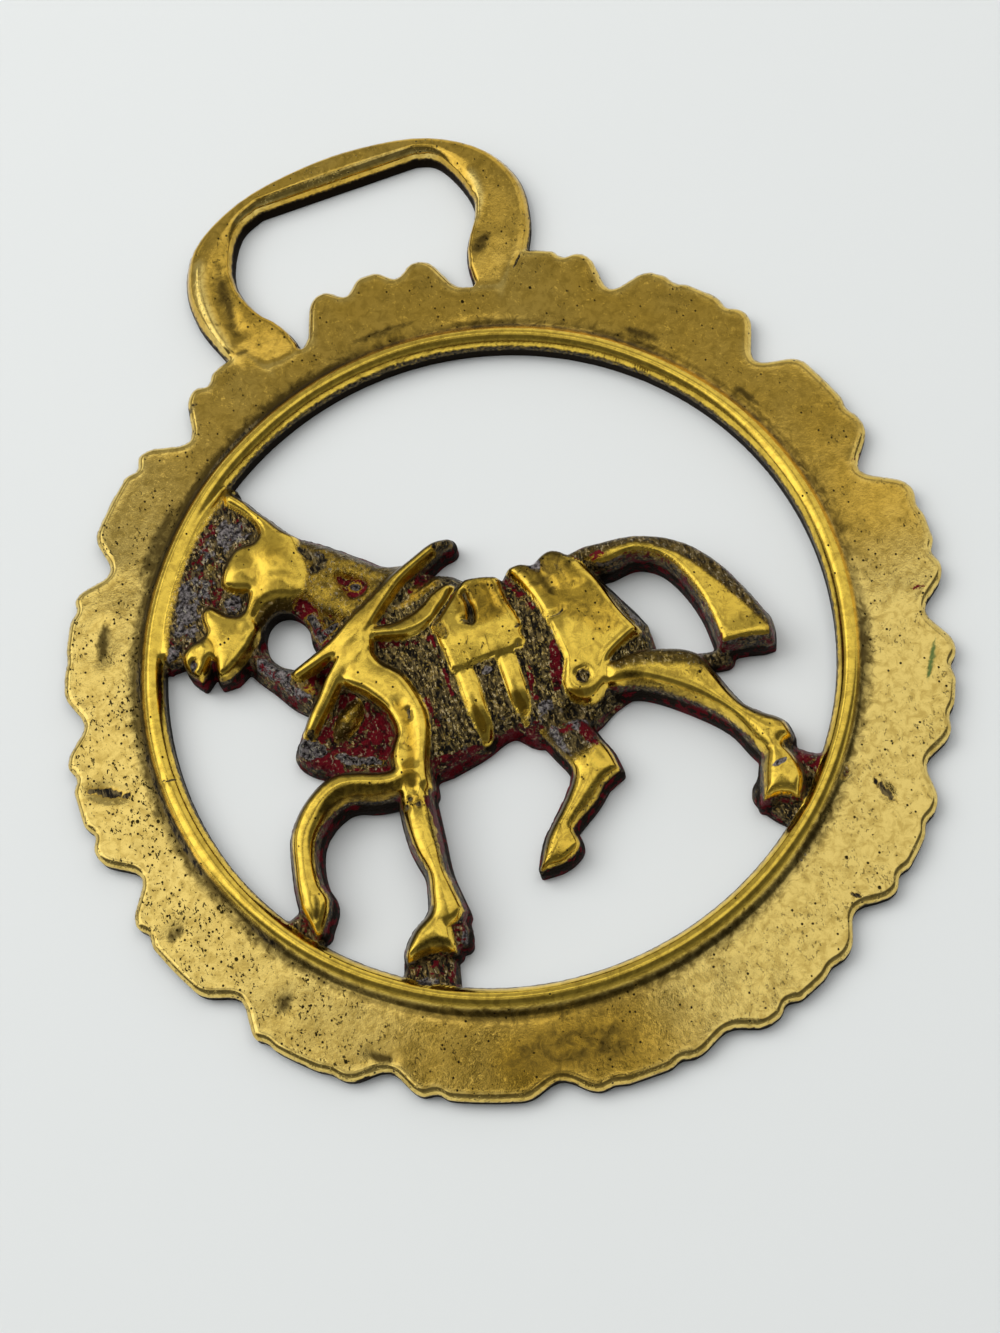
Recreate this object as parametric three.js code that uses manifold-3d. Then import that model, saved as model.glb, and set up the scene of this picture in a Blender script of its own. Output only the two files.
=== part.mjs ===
// A horse brass: one flat brass casting that hangs on the harness of a working horse.
// A round, pie-crust edged band carries a raised rim, and the rim frames a walking cart horse in its harness.
// A strap hanger stands on top. Millimetres, +Z up: the brass lies on its back, face up, with its back at z = 0.
// The origin is the centre of the rim, +Y points to the hanger, and the horse walks towards -X.
import * as THREE from "three";
import { mergeVertices } from "three/addons/utils/BufferGeometryUtils.js";
import Module from "manifold-3d";

const wasm = await Module();
wasm.setup();

// ---- driving dimensions ----
const RIM_INNER = 30.2; // radius of the round opening
const RIM_OUTER = 32.3;
const RIM_TOP = 3.0;
const RIM_SHOULDER = 1.0; // how far below the rim's top its rounding starts
const BAND_TOP = 1.8; // thickness of the flat band
const BAND_EDGE = 0.35; // rounding of the band's edge
// The edge was filed by hand, so no two lobes are alike. Each row is one valley and the lobe after it:
// [angle of the valley, half its width, radius at its bottom, radius of the lobe, depth of the lobe's notches].
const LOBES = [
  [8.4, 5.3, 36.9, 39.7, 0.4],
  [31, 5.2, 36.8, 40.1, 0.3],
  [55, 4.7, 37.5, 40.4, 0.5],
  [78, 4.7, 36.9, 40.1, 0.8],
  [101, 4.7, 36.5, 39.8, 0.5],
  [124, 5.6, 36, 39.4, 0.5],
  [147, 4.9, 36.7, 39.5, 0.35],
  [169.8, 4.9, 37.8, 39.8, 0.5],
  [193.4, 5.2, 37.2, 40, 0.4],
  [215.5, 5, 38.1, 40.2, 0.25],
  [237.5, 4.9, 38.3, 39.9, 0.3],
  [259.5, 4.7, 38.6, 40.1, 0.25],
  [281.3, 4.7, 39.3, 41, 0.4],
  [303.5, 4.7, 39.1, 41.1, 0.35],
  [325, 4.7, 39.2, 40.7, 0.35],
  [346, 5.2, 38.2, 40.5, 0.4],
];
const NOTCH_ANGLE = 3.7; // degrees from a lobe's middle to each of its two notches
const NOTCH_HALF_ANGLE = 0.9;
const HANGER_TOP = 2.9;
const HANGER_FOOT = [34.5, 41]; // its legs run down into the band between these two Y
const SLOT_TOP_Y = 50.5; // where the strap bears
const DRAFT = 0.45; // how far a relief's walls spread from its top to the back
const BELOW = 1; // every form starts under the back, and one cut makes the back flat
const LEG_TOP = 4.4;
const OFF_LEG_TOP = 3; // the hind leg on the far side lies lower
const BODY_TOP = 3.5;
const FACE_TOP = 3.8;
const HARNESS_TOP = 4.9;
const STRAP_DRAFT = 0.3;
const WEB_TOP = 2.0; // thin metal left between the horse and the rim

// ---- closed meshes to solids ----
function solid(geometry) {
  geometry.deleteAttribute("normal");
  geometry.deleteAttribute("uv");
  const merged = mergeVertices(geometry, 1e-4);
  return new wasm.Manifold(
    new wasm.Mesh({
      numProp: 3,
      vertProperties: merged.attributes.position.array,
      triVerts: new Uint32Array(merged.index.array),
    }),
  );
}

// ---- outlines ----
const SHARP = true; // marks an outline point that stays a corner
const SPAN_STEPS = 3;

// A closed outline that runs smoothly through its points and turns sharply only at the marked ones.
function outline(points) {
  const corners = points.flatMap((p, i) => (p[2] === SHARP ? [i] : []));
  const at = (i) => new THREE.Vector3(...points[i % points.length].slice(0, 2), 0);
  if (!corners.length) {
    const ring = new THREE.CatmullRomCurve3(points.map((_, i) => at(i)), true);
    return new THREE.Shape(ring.getPoints(points.length * SPAN_STEPS).slice(0, -1));
  }
  const run = [];
  corners.forEach((from, n) => {
    const to = n + 1 < corners.length ? corners[n + 1] : corners[0] + points.length;
    const stretch = Array.from({ length: to - from + 1 }, (_, i) => at(from + i));
    const straight = stretch.length === 2;
    const curve = new THREE.CatmullRomCurve3(stretch, false, "centripetal");
    run.push(...(straight ? [stretch[0]] : curve.getPoints((to - from) * SPAN_STEPS).slice(0, -1)));
  });
  return new THREE.Shape(run.map((p) => new THREE.Vector2(p.x, p.y)));
}

// The outline of a limb or strap from stations [x, y, half width] along its middle.
function limb(stations) {
  const middle = new THREE.CatmullRomCurve3(stations.map(([x, y, w]) => new THREE.Vector3(x, y, w)));
  const count = (stations.length - 1) * SPAN_STEPS;
  const left = [];
  const right = [];
  for (let i = 0; i <= count; i++) {
    const p = middle.getPoint(i / count);
    const t = middle.getTangent(i / count);
    const side = new THREE.Vector2(-t.y, t.x).normalize().multiplyScalar(p.z);
    left.push(new THREE.Vector2(p.x, p.y).add(side));
    right.unshift(new THREE.Vector2(p.x, p.y).sub(side));
  }
  return new THREE.Shape([...left, ...right]);
}

// ---- forms in relief ----
// A form stands on the back with this outline at its top, rounded over its edge, its walls spreading to the back.
function form(shape, top, { spread = DRAFT, steps = 3 } = {}) {
  const geometry = new THREE.ExtrudeGeometry(shape, {
    depth: BELOW,
    bevelThickness: top,
    bevelSize: spread,
    bevelSegments: steps,
  });
  geometry.translate(0, 0, -BELOW);
  return solid(geometry);
}

// A low rounded swelling, such as the barrel of the body.
function swelling([x, y], [halfLength, halfWidth], top, turn) {
  const geometry = new THREE.SphereGeometry(1, 28, 14);
  geometry.rotateX(Math.PI / 2);
  geometry.scale(halfLength, halfWidth, top);
  geometry.rotateZ(THREE.MathUtils.degToRad(turn));
  geometry.translate(x, y, 0);
  return solid(geometry);
}

function slab(shape, from, to) {
  const geometry = new THREE.ExtrudeGeometry(shape, { depth: to - from, bevelEnabled: false });
  geometry.translate(0, 0, from);
  return solid(geometry);
}

// ---- the pie-crust edged band ----
function edge() {
  const points = [];
  const add = (degrees, radius) => {
    const a = THREE.MathUtils.degToRad(degrees);
    points.push(new THREE.Vector2(radius * Math.cos(a), radius * Math.sin(a)));
  };
  LOBES.forEach(([valley, half, low, crown, notch], k) => {
    const before = LOBES.at(k - 1)[3];
    for (const share of [-1, -0.7, -0.4, -0.2, 0, 0.2, 0.4, 0.7, 1]) {
      const high = share < 0 ? before : crown;
      const rise = (1 - Math.cos(Math.PI * share)) / 2;
      add(valley + share * half, low + (high - low) * rise);
    }
    const next = k + 1 < LOBES.length ? LOBES[k + 1][0] : LOBES[0][0] + 360;
    const middle = (valley + next) / 2;
    for (const place of [-NOTCH_ANGLE, NOTCH_ANGLE]) {
      for (const side of [-1, 0, 1]) {
        add(middle + place + side * NOTCH_HALF_ANGLE, side ? crown : crown - notch);
      }
    }
  });
  return new THREE.Shape(points);
}

function band() {
  const shape = edge();
  const opening = (RIM_INNER + RIM_OUTER) / 2;
  shape.holes.push(new THREE.Path().absarc(0, 0, opening, 0, 2 * Math.PI, true));
  const geometry = new THREE.ExtrudeGeometry(shape, {
    depth: BAND_TOP + BELOW - BAND_EDGE,
    bevelThickness: BAND_EDGE,
    bevelSize: BAND_EDGE,
    bevelOffset: -BAND_EDGE,
    bevelSegments: 1,
    curveSegments: 96,
  });
  geometry.translate(0, 0, -BELOW);
  return solid(geometry);
}

function rim() {
  const shoulder = RIM_TOP - RIM_SHOULDER;
  const profile = [
    [RIM_INNER, -BELOW],
    [RIM_OUTER, -BELOW],
    [RIM_OUTER, shoulder],
    [RIM_OUTER - 0.3, RIM_TOP - 0.3],
    [RIM_OUTER - 0.9, RIM_TOP],
    [RIM_INNER + 0.6, RIM_TOP - 0.1],
    [RIM_INNER + 0.1, shoulder],
    [RIM_INNER, -BELOW],
  ].map(([r, z]) => new THREE.Vector2(r, z));
  const geometry = new THREE.LatheGeometry(profile, 96);
  geometry.rotateX(Math.PI / 2);
  return solid(geometry);
}

// ---- the strap hanger ----
function hanger() {
  const outer = outline([
    [-13.6, 34.5, SHARP],
    [-14.4, 37.2, SHARP],
    [-15.9, 41.5],
    [-15.9, 45.2],
    [-14.2, 48.8],
    [-9, 52],
    [-2, 53.4],
    [4, 53.4],
    [10.5, 52],
    [15.2, 48.6],
    [17, 44.6],
    [16.6, 40.6],
    [15.4, 37.8, SHARP],
    [14, 34.5, SHARP],
  ]);
  const slot = outline([
    [-7, SLOT_TOP_Y, SHARP],
    [-9.6, 49.2],
    [-11.6, 44.6],
    [-10.5, 40.8],
    [-8.8, 38.8],
    [-7.5, 35.6, SHARP],
    [8.6, 35.6, SHARP],
    [9.8, 38],
    [10.3, 40.2],
    [12.3, 43.6],
    [11.6, 47.4],
    [10.2, 49.8],
    [8.6, SLOT_TOP_Y, SHARP],
  ]);
  const [foot, knee] = HANGER_FOOT;
  const slope = Math.atan2(HANGER_TOP - BAND_TOP, knee - foot);
  const overFoot = new THREE.BoxGeometry(4 * knee, knee, HANGER_TOP);
  overFoot.translate(0, -knee / 2, HANGER_TOP / 2);
  overFoot.rotateX(slope);
  overFoot.translate(0, knee, HANGER_TOP);
  const plate = form(outer, HANGER_TOP, { spread: 0.4 }).subtract(solid(overFoot));
  return plate.subtract(slab(slot, -2 * BELOW, 2 * HANGER_TOP));
}

// ---- the horse ----
function trunk() {
  const side = outline([
    [-9, 9],
    [-5, 9.2],
    [-1.4, 7.2],
    [2.1, 6.3],
    [7.4, 6.9],
    [9.6, 5.2],
    [12, 0.9],
    [13.3, -2.6],
    [12.4, -6.4],
    [8.2, -8],
    [5.8, -9.2],
    [1, -9],
    [-0.9, -7.1],
    [-4.6, -8.1],
    [-9.6, -8.2],
    [-11, 0],
  ]);
  const barrel = swelling([-1.5, -0.6], [11, 7.6], BODY_TOP + 0.8, -3);
  return form(side, BODY_TOP - 0.5).add(barrel);
}

function neck() {
  const side = outline([
    [-17.2, 21.5, SHARP],
    [-15.4, 18.8],
    [-13.6, 17.1],
    [-9.8, 14],
    [-5.2, 10.2, SHARP],
    [-10, 5.8, SHARP],
    [-14.5, 5.2, SHARP],
    [-14.7, 9.2],
    [-17, 12],
    [-17.6, 17],
    [-18.8, 21.6, SHARP],
  ]);
  const muscle = swelling([-12.4, 12.4], [6.4, 3.6], BODY_TOP + 1.1, -48);
  return form(side, BODY_TOP).add(muscle);
}

function head() {
  const cheek = outline([
    [-16.9, 19, SHARP],
    [-17.6, 17.4],
    [-19.4, 17.2],
    [-21.6, 14, SHARP],
    [-19.5, 12.8, SHARP],
    [-20.8, 11, SHARP],
    [-20, 9],
    [-18.7, 11],
    [-16, 11.4],
    [-13.9, 12.2],
    [-13.8, 15.6],
    [-15.2, 18.2],
  ]);
  const face = outline([
    [-21, 11.1, SHARP],
    [-22.9, 12.9],
    [-24, 12.5],
    [-24.1, 10.6],
    [-26, 9.9],
    [-26.5, 8.6],
    [-25.8, 6.7, SHARP],
    [-24.4, 8, SHARP],
    [-24, 6.1, SHARP],
    [-22.6, 6.3],
    [-20.6, 7.8],
    [-19.5, 10],
    [-19.6, 12, SHARP],
  ]);
  const jaw = swelling([-17.4, 13.8], [4, 3.2], HARNESS_TOP + 0.5, 20);
  return form(cheek, HARNESS_TOP - 0.4).add(form(face, FACE_TOP)).add(jaw);
}

// Thin metal that ties the figure to the rim: before the face, under the chin and at three hooves.
function webs() {
  const brow = outline([
    [-18.2, 24.6, SHARP],
    [-16.8, 21.4, SHARP],
    [-16.8, 17, SHARP],
    [-21, 11.5],
    [-25.2, 7],
    [-27.2, 9],
    [-29.5, 10, SHARP],
    [-26.6, 16],
  ]);
  const throat = outline([
    [-21.2, 8.4],
    [-19.6, 9.2],
    [-19.5, 6.4],
    [-17.6, 4.6],
    [-16, 2.4],
    [-17.4, 1],
    [-19.4, 3.6],
    [-20.8, 6],
  ]);
  const breast = outline([
    [-13, 1.6, SHARP],
    [-18.4, -0.8],
    [-19.5, -2.7],
    [-18, -4.1],
    [-16.6, -5.6, SHARP],
    [-11.4, -7.4, SHARP],
    [-11, -1, SHARP],
  ]);
  const raisedHoof = limb([
    [-22.6, -17.2, 0.8],
    [-23.8, -17.7, 0.9],
    [-25.4, -18.6, 1.1],
  ]);
  const standingHoof = outline([
    [-16, -23.6, SHARP],
    [-11.9, -23.4, SHARP],
    [-13, -28, SHARP],
    [-17, -26, SHARP],
  ]);
  const hindHoof = limb([
    [20.6, -18, 1.2],
    [22.6, -19.6, 1.1],
    [24.4, -20.6, 1.4],
  ]);
  const hindToe = limb([
    [18.4, -20.2, 1.2],
    [19.4, -21.8, 1.2],
    [21.2, -23.6, 1],
  ]);
  const dock = limb([
    [16.4, -6.8, 0.6],
    [17.6, -7, 0.5],
    [19, -7.2, 0.6],
  ]);
  return [
    ...[throat, breast, raisedHoof, standingHoof, hindHoof, hindToe, dock].map((o) =>
      form(o, WEB_TOP, { spread: 0.4, steps: 2 }),
    ),
    form(brow, WEB_TOP + 0.4, { spread: 0.4, steps: 2 }),
  ];
}

function forelegs() {
  const raised = limb([
    [-11.4, -8.4, 1.4],
    [-13.4, -8.8, 1.4],
    [-15.6, -8, 1.25],
    [-17.4, -7.7, 1.35],
    [-19.4, -8.7, 1.2],
    [-21.1, -10.5, 1.1],
    [-21.9, -12.9, 0.95],
    [-22.2, -15.2, 1.1],
    [-22.15, -17, 1.3],
    [-22.6, -19, 0.5],
  ]);
  const standing = limb([
    [-10.9, -8.6, 1.3],
    [-11.2, -12, 1.35],
    [-11.3, -15, 1.2],
    [-11.4, -17.8, 0.9],
    [-11.5, -19.6, 1.2],
    [-11.5, -21.2, 1.45],
  ]);
  const hoof = outline([
    [-12.6, -20.6, SHARP],
    [-14.8, -21.9],
    [-16, -23.4],
    [-15.9, -24.4, SHARP],
    [-13.6, -24.2],
    [-11.7, -24.7, SHARP],
    [-11.5, -22.3, SHARP],
    [-10, -21.7, SHARP],
    [-10.2, -20, SHARP],
  ]);
  return [form(raised, LEG_TOP), form(standing, LEG_TOP), form(hoof, LEG_TOP)];
}

function shoulder() {
  const side = outline([
    [-13.4, 4.2, SHARP],
    [-13, 1.3],
    [-11.4, -1.2],
    [-10.6, -3.6],
    [-11.8, -7.6, SHARP],
    [-11.8, -10, SHARP],
    [-9.4, -10, SHARP],
    [-7.9, -5.6],
    [-7.7, -2.2],
    [-8.8, 0.9],
    [-10.5, 3],
    [-9.6, 5.4, SHARP],
  ]);
  return form(side, LEG_TOP + 0.4);
}

function hindLegs() {
  const near = outline([
    [8.4, -4.8, SHARP],
    [12, -4.9],
    [16.2, -6.2],
    [17.3, -8.4],
    [18.6, -12],
    [21.4, -14.9],
    [21.8, -16.8, SHARP],
    [20.8, -17, SHARP],
    [21.4, -19.6],
    [20.4, -22.2, SHARP],
    [17.5, -21.1, SHARP],
    [18.9, -17.2, SHARP],
    [17.4, -13.6],
    [14, -10],
    [11, -7.8],
    [8, -7, SHARP],
  ]);
  const off = outline([
    [1, -8.2, SHARP],
    [2.1, -10.8],
    [2.8, -12.8],
    [1.4, -14.9],
    [-1.4, -17.8],
    [-2.8, -20.4, SHARP],
    [-0.4, -20.4],
    [1.3, -19.4],
    [1.2, -17.8, SHARP],
    [4, -16],
    [5.2, -14.9, SHARP],
    [6.9, -14.2, SHARP],
    [6.7, -12.4],
    [5.8, -9.8],
    [5.6, -8.2, SHARP],
  ]);
  const quarter = swelling([11.4, -5], [4.6, 2.8], LEG_TOP + 0.4, -35);
  return [form(near, LEG_TOP), form(off, OFF_LEG_TOP, { spread: STRAP_DRAFT }), quarter];
}

function tail() {
  const switchOfHair = outline([
    [9, 5.4],
    [13.6, 5.5],
    [17.8, 3.9],
    [21.3, 0.3],
    [23.3, -4.4],
    [23.1, -7.5, SHARP],
    [18.9, -6.9, SHARP],
    [18.8, -2.8],
    [17.6, 1.4],
    [14.9, 4],
    [11.4, 3.8],
  ]);
  return form(switchOfHair, LEG_TOP);
}

// ---- the harness ----
function hames() {
  const bar = limb([
    [-0.9, 11.2, 0.3],
    [-2, 10.7, 0.55],
    [-4.4, 9.3, 0.7],
    [-7.8, 7.4, 0.8],
    [-11, 5.7, 1.1],
    [-13.8, 4.6, 0.9],
    [-17.6, 3.5, 0.6],
  ]);
  const lower = limb([
    [-12.4, 3.2, 1.1],
    [-15.6, 0.8, 0.95],
    [-18.2, -2, 0.7],
  ]);
  const tug = limb([
    [-11.6, 4.9, 1.2],
    [-8.6, 4.4, 0.8],
    [-5.6, 4.4, 1],
    [-3.4, 5.2, 0.95],
    [-1.9, 6.4, 0.55],
  ]);
  return [
    form(bar, HARNESS_TOP, { spread: STRAP_DRAFT }),
    form(lower, HARNESS_TOP - 0.4, { spread: STRAP_DRAFT }),
    form(tug, HARNESS_TOP - 0.2, { spread: STRAP_DRAFT }),
  ];
}

function saddle() {
  const flap = outline([
    [-4.8, 2.7, SHARP],
    [-4.3, -1.4, SHARP],
    [2.6, -1.4, SHARP],
    [2.9, 1.1],
    [2.2, 5.9, SHARP],
    [-0.3, 6.6, SHARP],
    [-0.7, 2.7, SHARP],
    [-3, 3.3, SHARP],
  ]);
  const girths = [-3.25, 0.65].map((x) =>
    limb([
      [x, -0.3, 0.9],
      [x, -3.2, 0.9],
      [x, -6.2, 0.9],
      [x, -7.7, 0.45],
    ]),
  );
  return [
    form(flap, HARNESS_TOP, { spread: STRAP_DRAFT }),
    ...girths.map((g) => form(g, HARNESS_TOP - 0.4, { spread: STRAP_DRAFT })),
  ];
}

function quarterCloth() {
  const cloth = outline([
    [3.4, 6.4, SHARP],
    [4.4, 2.4],
    [5.2, -3.8, SHARP],
    [4.7, -6.2],
    [6.5, -7.7],
    [8.4, -6.2],
    [9, -5.1],
    [12.6, -3.2, SHARP],
    [11.2, 0],
    [10.4, 3.3],
    [8.3, 6.4, SHARP],
  ]);
  return form(cloth, HARNESS_TOP - 0.2, { spread: STRAP_DRAFT });
}

// ---- the one casting ----
const pieces = [
  band(),
  rim(),
  hanger(),
  trunk(),
  neck(),
  head(),
  ...webs(),
  ...forelegs(),
  shoulder(),
  ...hindLegs(),
  tail(),
  ...hames(),
  ...saddle(),
  quarterCloth(),
];
const REACH = 200; // wider and taller than the brass
const above = solid(new THREE.BoxGeometry(REACH, REACH, REACH).translate(0, 0, REACH / 2));
const casting = pieces.reduce((whole, piece) => whole.add(piece)).intersect(above);

const mesh = casting.getMesh();
const geometry = new THREE.BufferGeometry();
geometry.setAttribute("position", new THREE.BufferAttribute(mesh.vertProperties, 3));
geometry.setIndex(new THREE.BufferAttribute(mesh.triVerts, 1));
geometry.computeVertexNormals();

const brass = new THREE.MeshStandardMaterial({ color: 0xb08d33, roughness: 0.38, metalness: 1 });
const horseBrass = new THREE.Mesh(geometry, brass);
horseBrass.name = "horse_brass";

const root = new THREE.Group();
root.add(horseBrass);
export default root;
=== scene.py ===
"""The looks of a cast horse brass: one closed mesh with the casting's full relief, and the finishes on it.

All sizes of the brass are in millimetres here, in the frame of the CAD model, and become metres at the end.
"""

import math

import bmesh
import bpy
import numpy as np
from mathutils import Matrix, Vector


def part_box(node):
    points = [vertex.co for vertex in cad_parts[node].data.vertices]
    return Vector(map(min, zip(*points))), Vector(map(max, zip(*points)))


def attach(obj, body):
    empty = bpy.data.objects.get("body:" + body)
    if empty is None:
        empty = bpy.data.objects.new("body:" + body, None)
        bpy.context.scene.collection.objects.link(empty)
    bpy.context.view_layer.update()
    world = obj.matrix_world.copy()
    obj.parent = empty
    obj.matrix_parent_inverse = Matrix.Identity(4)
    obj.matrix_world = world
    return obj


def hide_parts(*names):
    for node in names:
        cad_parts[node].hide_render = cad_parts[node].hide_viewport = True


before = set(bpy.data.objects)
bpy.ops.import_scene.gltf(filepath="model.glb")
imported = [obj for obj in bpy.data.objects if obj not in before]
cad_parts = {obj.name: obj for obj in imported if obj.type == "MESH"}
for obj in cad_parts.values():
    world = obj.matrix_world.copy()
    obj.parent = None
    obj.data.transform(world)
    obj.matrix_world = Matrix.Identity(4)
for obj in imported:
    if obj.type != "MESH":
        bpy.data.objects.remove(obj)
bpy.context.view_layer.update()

MM = 0.001
SHARP = True  # marks a corner of an outline

# ---- sizes of the casting ----
RIM_INNER = 30.2
RIM_OUTER = 32.3
BAND_TOP = 1.8
HANGER_TOP = 2.5
HANGER_SLOPE = (36.5, 49.5)  # it rises out of the band between these two Y
SPREAD = 0.45  # how far a wall leans out from the top of a form to the back
ROUND = 0.45  # how far in from that top edge the rounding reaches
FILLET = 0.2  # how smoothly a form runs into what is below it

COARSE = 0.358  # spacing of the mesh on the plain parts of the band, and half that everywhere else
PLAIN_BAND = (33.6, 33.0)  # the band is plain outside this radius and below this Y

# The pie-crust edge, filed by hand. Each row is a valley and the lobe after it:
# angle of the valley, half its width, radius at its bottom, radius of the lobe, then the lobe's notches
# as (angle, depth), or (angle, depth, half width in degrees).
LOBES = [
    (8.4, 5.3, 36.9, 39.7, [(16.9, 0.35)]),
    (31.0, 5.2, 36.8, 40.3, [(38.9, 0.5), (46.6, 0.35)]),
    (55.0, 4.7, 37.5, 40.6, [(62.5, 0.6)]),
    (71.5, 2.5, 37.0, 37.0, []),
    (76.8, 4.9, 37.0, 40.45, [(85.6, 1.25, 2.3), (93.0, 1.35, 2.3)]),
    (101.6, 4.7, 36.3, 36.4, []),
    (107.5, 2.0, 36.8, 39.6, [(116.0, 0.75)]),
    (124.0, 5.6, 36.3, 39.5, [(131.6, 0.7)]),
    (147.0, 4.9, 36.9, 39.5, [(153.5, 0.45), (160.6, 0.2)]),
    (169.8, 4.9, 37.8, 39.8, [(177.0, 0.6), (185.3, 0.65)]),
    (193.4, 5.2, 37.1, 39.9, [(200.6, 0.5)]),
    (215.5, 5.0, 38.0, 40.1, [(221.5, 0.25), (230.5, 0.2)]),
    (237.5, 4.9, 38.3, 39.9, [(244.0, 0.45)]),
    (259.5, 4.7, 38.5, 40.1, [(266.0, 0.25), (274.6, 0.35)]),
    (281.3, 4.7, 39.3, 40.9, [(289.2, 0.6), (296.2, 0.3)]),
    (303.5, 4.7, 39.0, 41.0, [(310.3, 0.5), (317.6, 0.4)]),
    (325.0, 4.7, 39.1, 40.6, [(331.7, 0.35), (338.3, 0.5)]),
    (346.0, 5.2, 38.2, 40.4, [(353.8, 0.55), (0.6, 0.3)]),
]

# What can lie on the metal, each from 0 to 1 at every vertex, and mixtures of them. The film also carries
# painted shade and a painted dark reflection, and the polish a painted bright reflection.
FINISHES = ("gilt", "grime", "red", "grey", "cast", "pits", "film", "green")
LAYERS = (*FINISHES, "hollow", "wall", "satin")  # and the hollows, the low dark walls, the satin bead
POLISHED = {"gilt": 1.0, "pits": 0.15}
RUBBED = {"gilt": 0.7, "film": 0.12, "pits": 0.5}
AS_CAST = {"gilt": 0.7, "grime": 0.75, "cast": 1.0, "grey": 0.15}
DIRTY_PAINT = {"grime": 0.8, "red": 0.6, "cast": 0.8, "grey": 0.3}
SLOPES = {"gilt": 0.0, "grime": 0.95, "red": 0.6, "cast": 0.4,
    "grey": 0.15}  # the sides of every raised form


# ---- paths and outlines seen from above ----
def smooth_path(points, closed=False, steps=4):
    """Points on a curve that runs through all of these."""
    points = np.array(points, float)
    if closed:
        points = np.vstack([points[-1], points, points[:2]])
    else:
        points = np.vstack([2 * points[0] - points[1], points, 2 * points[-1] - points[-2]])
    run = []
    for p in zip(points, points[1:], points[2:], points[3:]):
        knots = np.cumsum([0] + [np.linalg.norm(b - a) ** 0.5 + 1e-9 for a, b in zip(p, p[1:])])
        t = np.linspace(knots[1], knots[2], steps, endpoint=False)[:, None]

        def mix(a, b, i, j):
            return ((knots[j] - t) * a + (t - knots[i]) * b) / (knots[j] - knots[i])

        a, b, c = (mix(p[i], p[i + 1], i, i + 1) for i in range(3))
        run.append(mix(mix(a, b, 0, 2), mix(b, c, 1, 3), 1, 2))
    if not closed:
        run.append(points[-2:-1])
    return np.vstack(run)


def smooth_outline(points):
    """A closed outline that turns sharply only at the points marked SHARP."""
    corners = [i for i, p in enumerate(points) if len(p) > 2]
    plain = [p[:2] for p in points]
    if not corners:
        return smooth_path(plain, closed=True)
    run = []
    for here, after in zip(corners, corners[1:] + [corners[0] + len(points)]):
        stretch = [plain[i % len(points)] for i in range(here, after + 1)]
        run.append(smooth_path(stretch)[:-1])
    return np.vstack(run)


def from_path(at, path):
    """How far each place is from a path, how far along it (0 to 1), and on which side (+1 is the left)."""
    run = np.diff(path[:, :2], axis=0)
    offset = at[:, None] - path[:-1, :2]
    share = np.clip((offset * run).sum(2) / (run**2).sum(1), 0, 1)
    gap = offset - share[..., None] * run
    far = np.hypot(gap[..., 0], gap[..., 1])
    rows, pick = np.arange(len(at)), far.argmin(1)
    side = np.sign(run[pick, 0] * offset[rows, pick, 1] - run[pick, 1] * offset[rows, pick, 0])
    return far[rows, pick], (pick + share[rows, pick]) / len(run), side


class Plan:
    """A form seen from above: a closed outline, or a limb along a line.

    A limb's stations are [x, y, half width], or [x, y, half width, height] where its top isn't level.
    """

    def __init__(self, points, limb=False):
        self.limb = limb
        self.path = smooth_path(points) if limb else smooth_outline(points)
        half = self.path[:, 2].max() if limb else 0
        self.low = self.path[:, :2].min(0) - half
        self.high = self.path[:, :2].max(0) + half

    def depth(self, at):
        """How far inside each place is, and negative outside."""
        if self.limb:
            far, along, _ = from_path(at, self.path)
            place = np.linspace(0, 1, len(self.path))
            return np.interp(along, place, self.path[:, 2]) - far
        ring = np.vstack([self.path, self.path[:1]])
        far, _, _ = from_path(at, ring)
        x, y = at[:, :1], at[:, 1:]
        a, b = ring[:-1], ring[1:]
        rise = b[:, 1] - a[:, 1] + 1e-12
        ahead = x < (b[:, 0] - a[:, 0]) * (y - a[:, 1]) / rise + a[:, 0]
        crosses = ((a[:, 1] > y) != (b[:, 1] > y)) & ahead
        return np.where(crosses.sum(1) % 2, far, -far)


def limb(*stations):
    return Plan(stations, limb=True)


def oval(centre, radii, turn=0):
    a = np.linspace(0, 2 * math.pi, 16, endpoint=False)
    c, s = math.cos(math.radians(turn)), math.sin(math.radians(turn))
    u, v = radii[0] * np.cos(a), radii[1] * np.sin(a)
    return Plan(np.c_[centre[0] + c * u - s * v, centre[1] + s * u + c * v].tolist())


def ripple(at, size, seed):
    """Smooth random numbers from -1 to 1 that change over about this many mm."""
    table = np.random.default_rng(seed).uniform(-1, 1, (97, 97))
    cell = at / size
    low = np.floor(cell).astype(int)
    part = cell - low
    part = part * part * (3 - 2 * part)
    corner = [[table[(low[:, 0] + i) % 97, (low[:, 1] + j) % 97] for j in (0, 1)] for i in (0, 1)]
    left = corner[0][0] * (1 - part[:, 1]) + corner[0][1] * part[:, 1]
    right = corner[1][0] * (1 - part[:, 1]) + corner[1][1] * part[:, 1]
    return left * (1 - part[:, 0]) + right * part[:, 0]


def held(value):
    """A number held between 0 and 1."""
    return min(max(value, 0.0), 1.0)


def soft_step(value, start, end):
    """0 at the start, 1 at the end, and smooth between them."""
    share = np.clip((value - start) / (end - start), 0, 1)
    return share * share * (3 - 2 * share)


def rounded(level, wall):
    """A top with a rounded wall around it: wall goes from 0 at the wall's foot to 1 where the top begins."""
    return np.where(wall > 0, level * np.sqrt(1 - (1 - wall) ** 2), -1)


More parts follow.
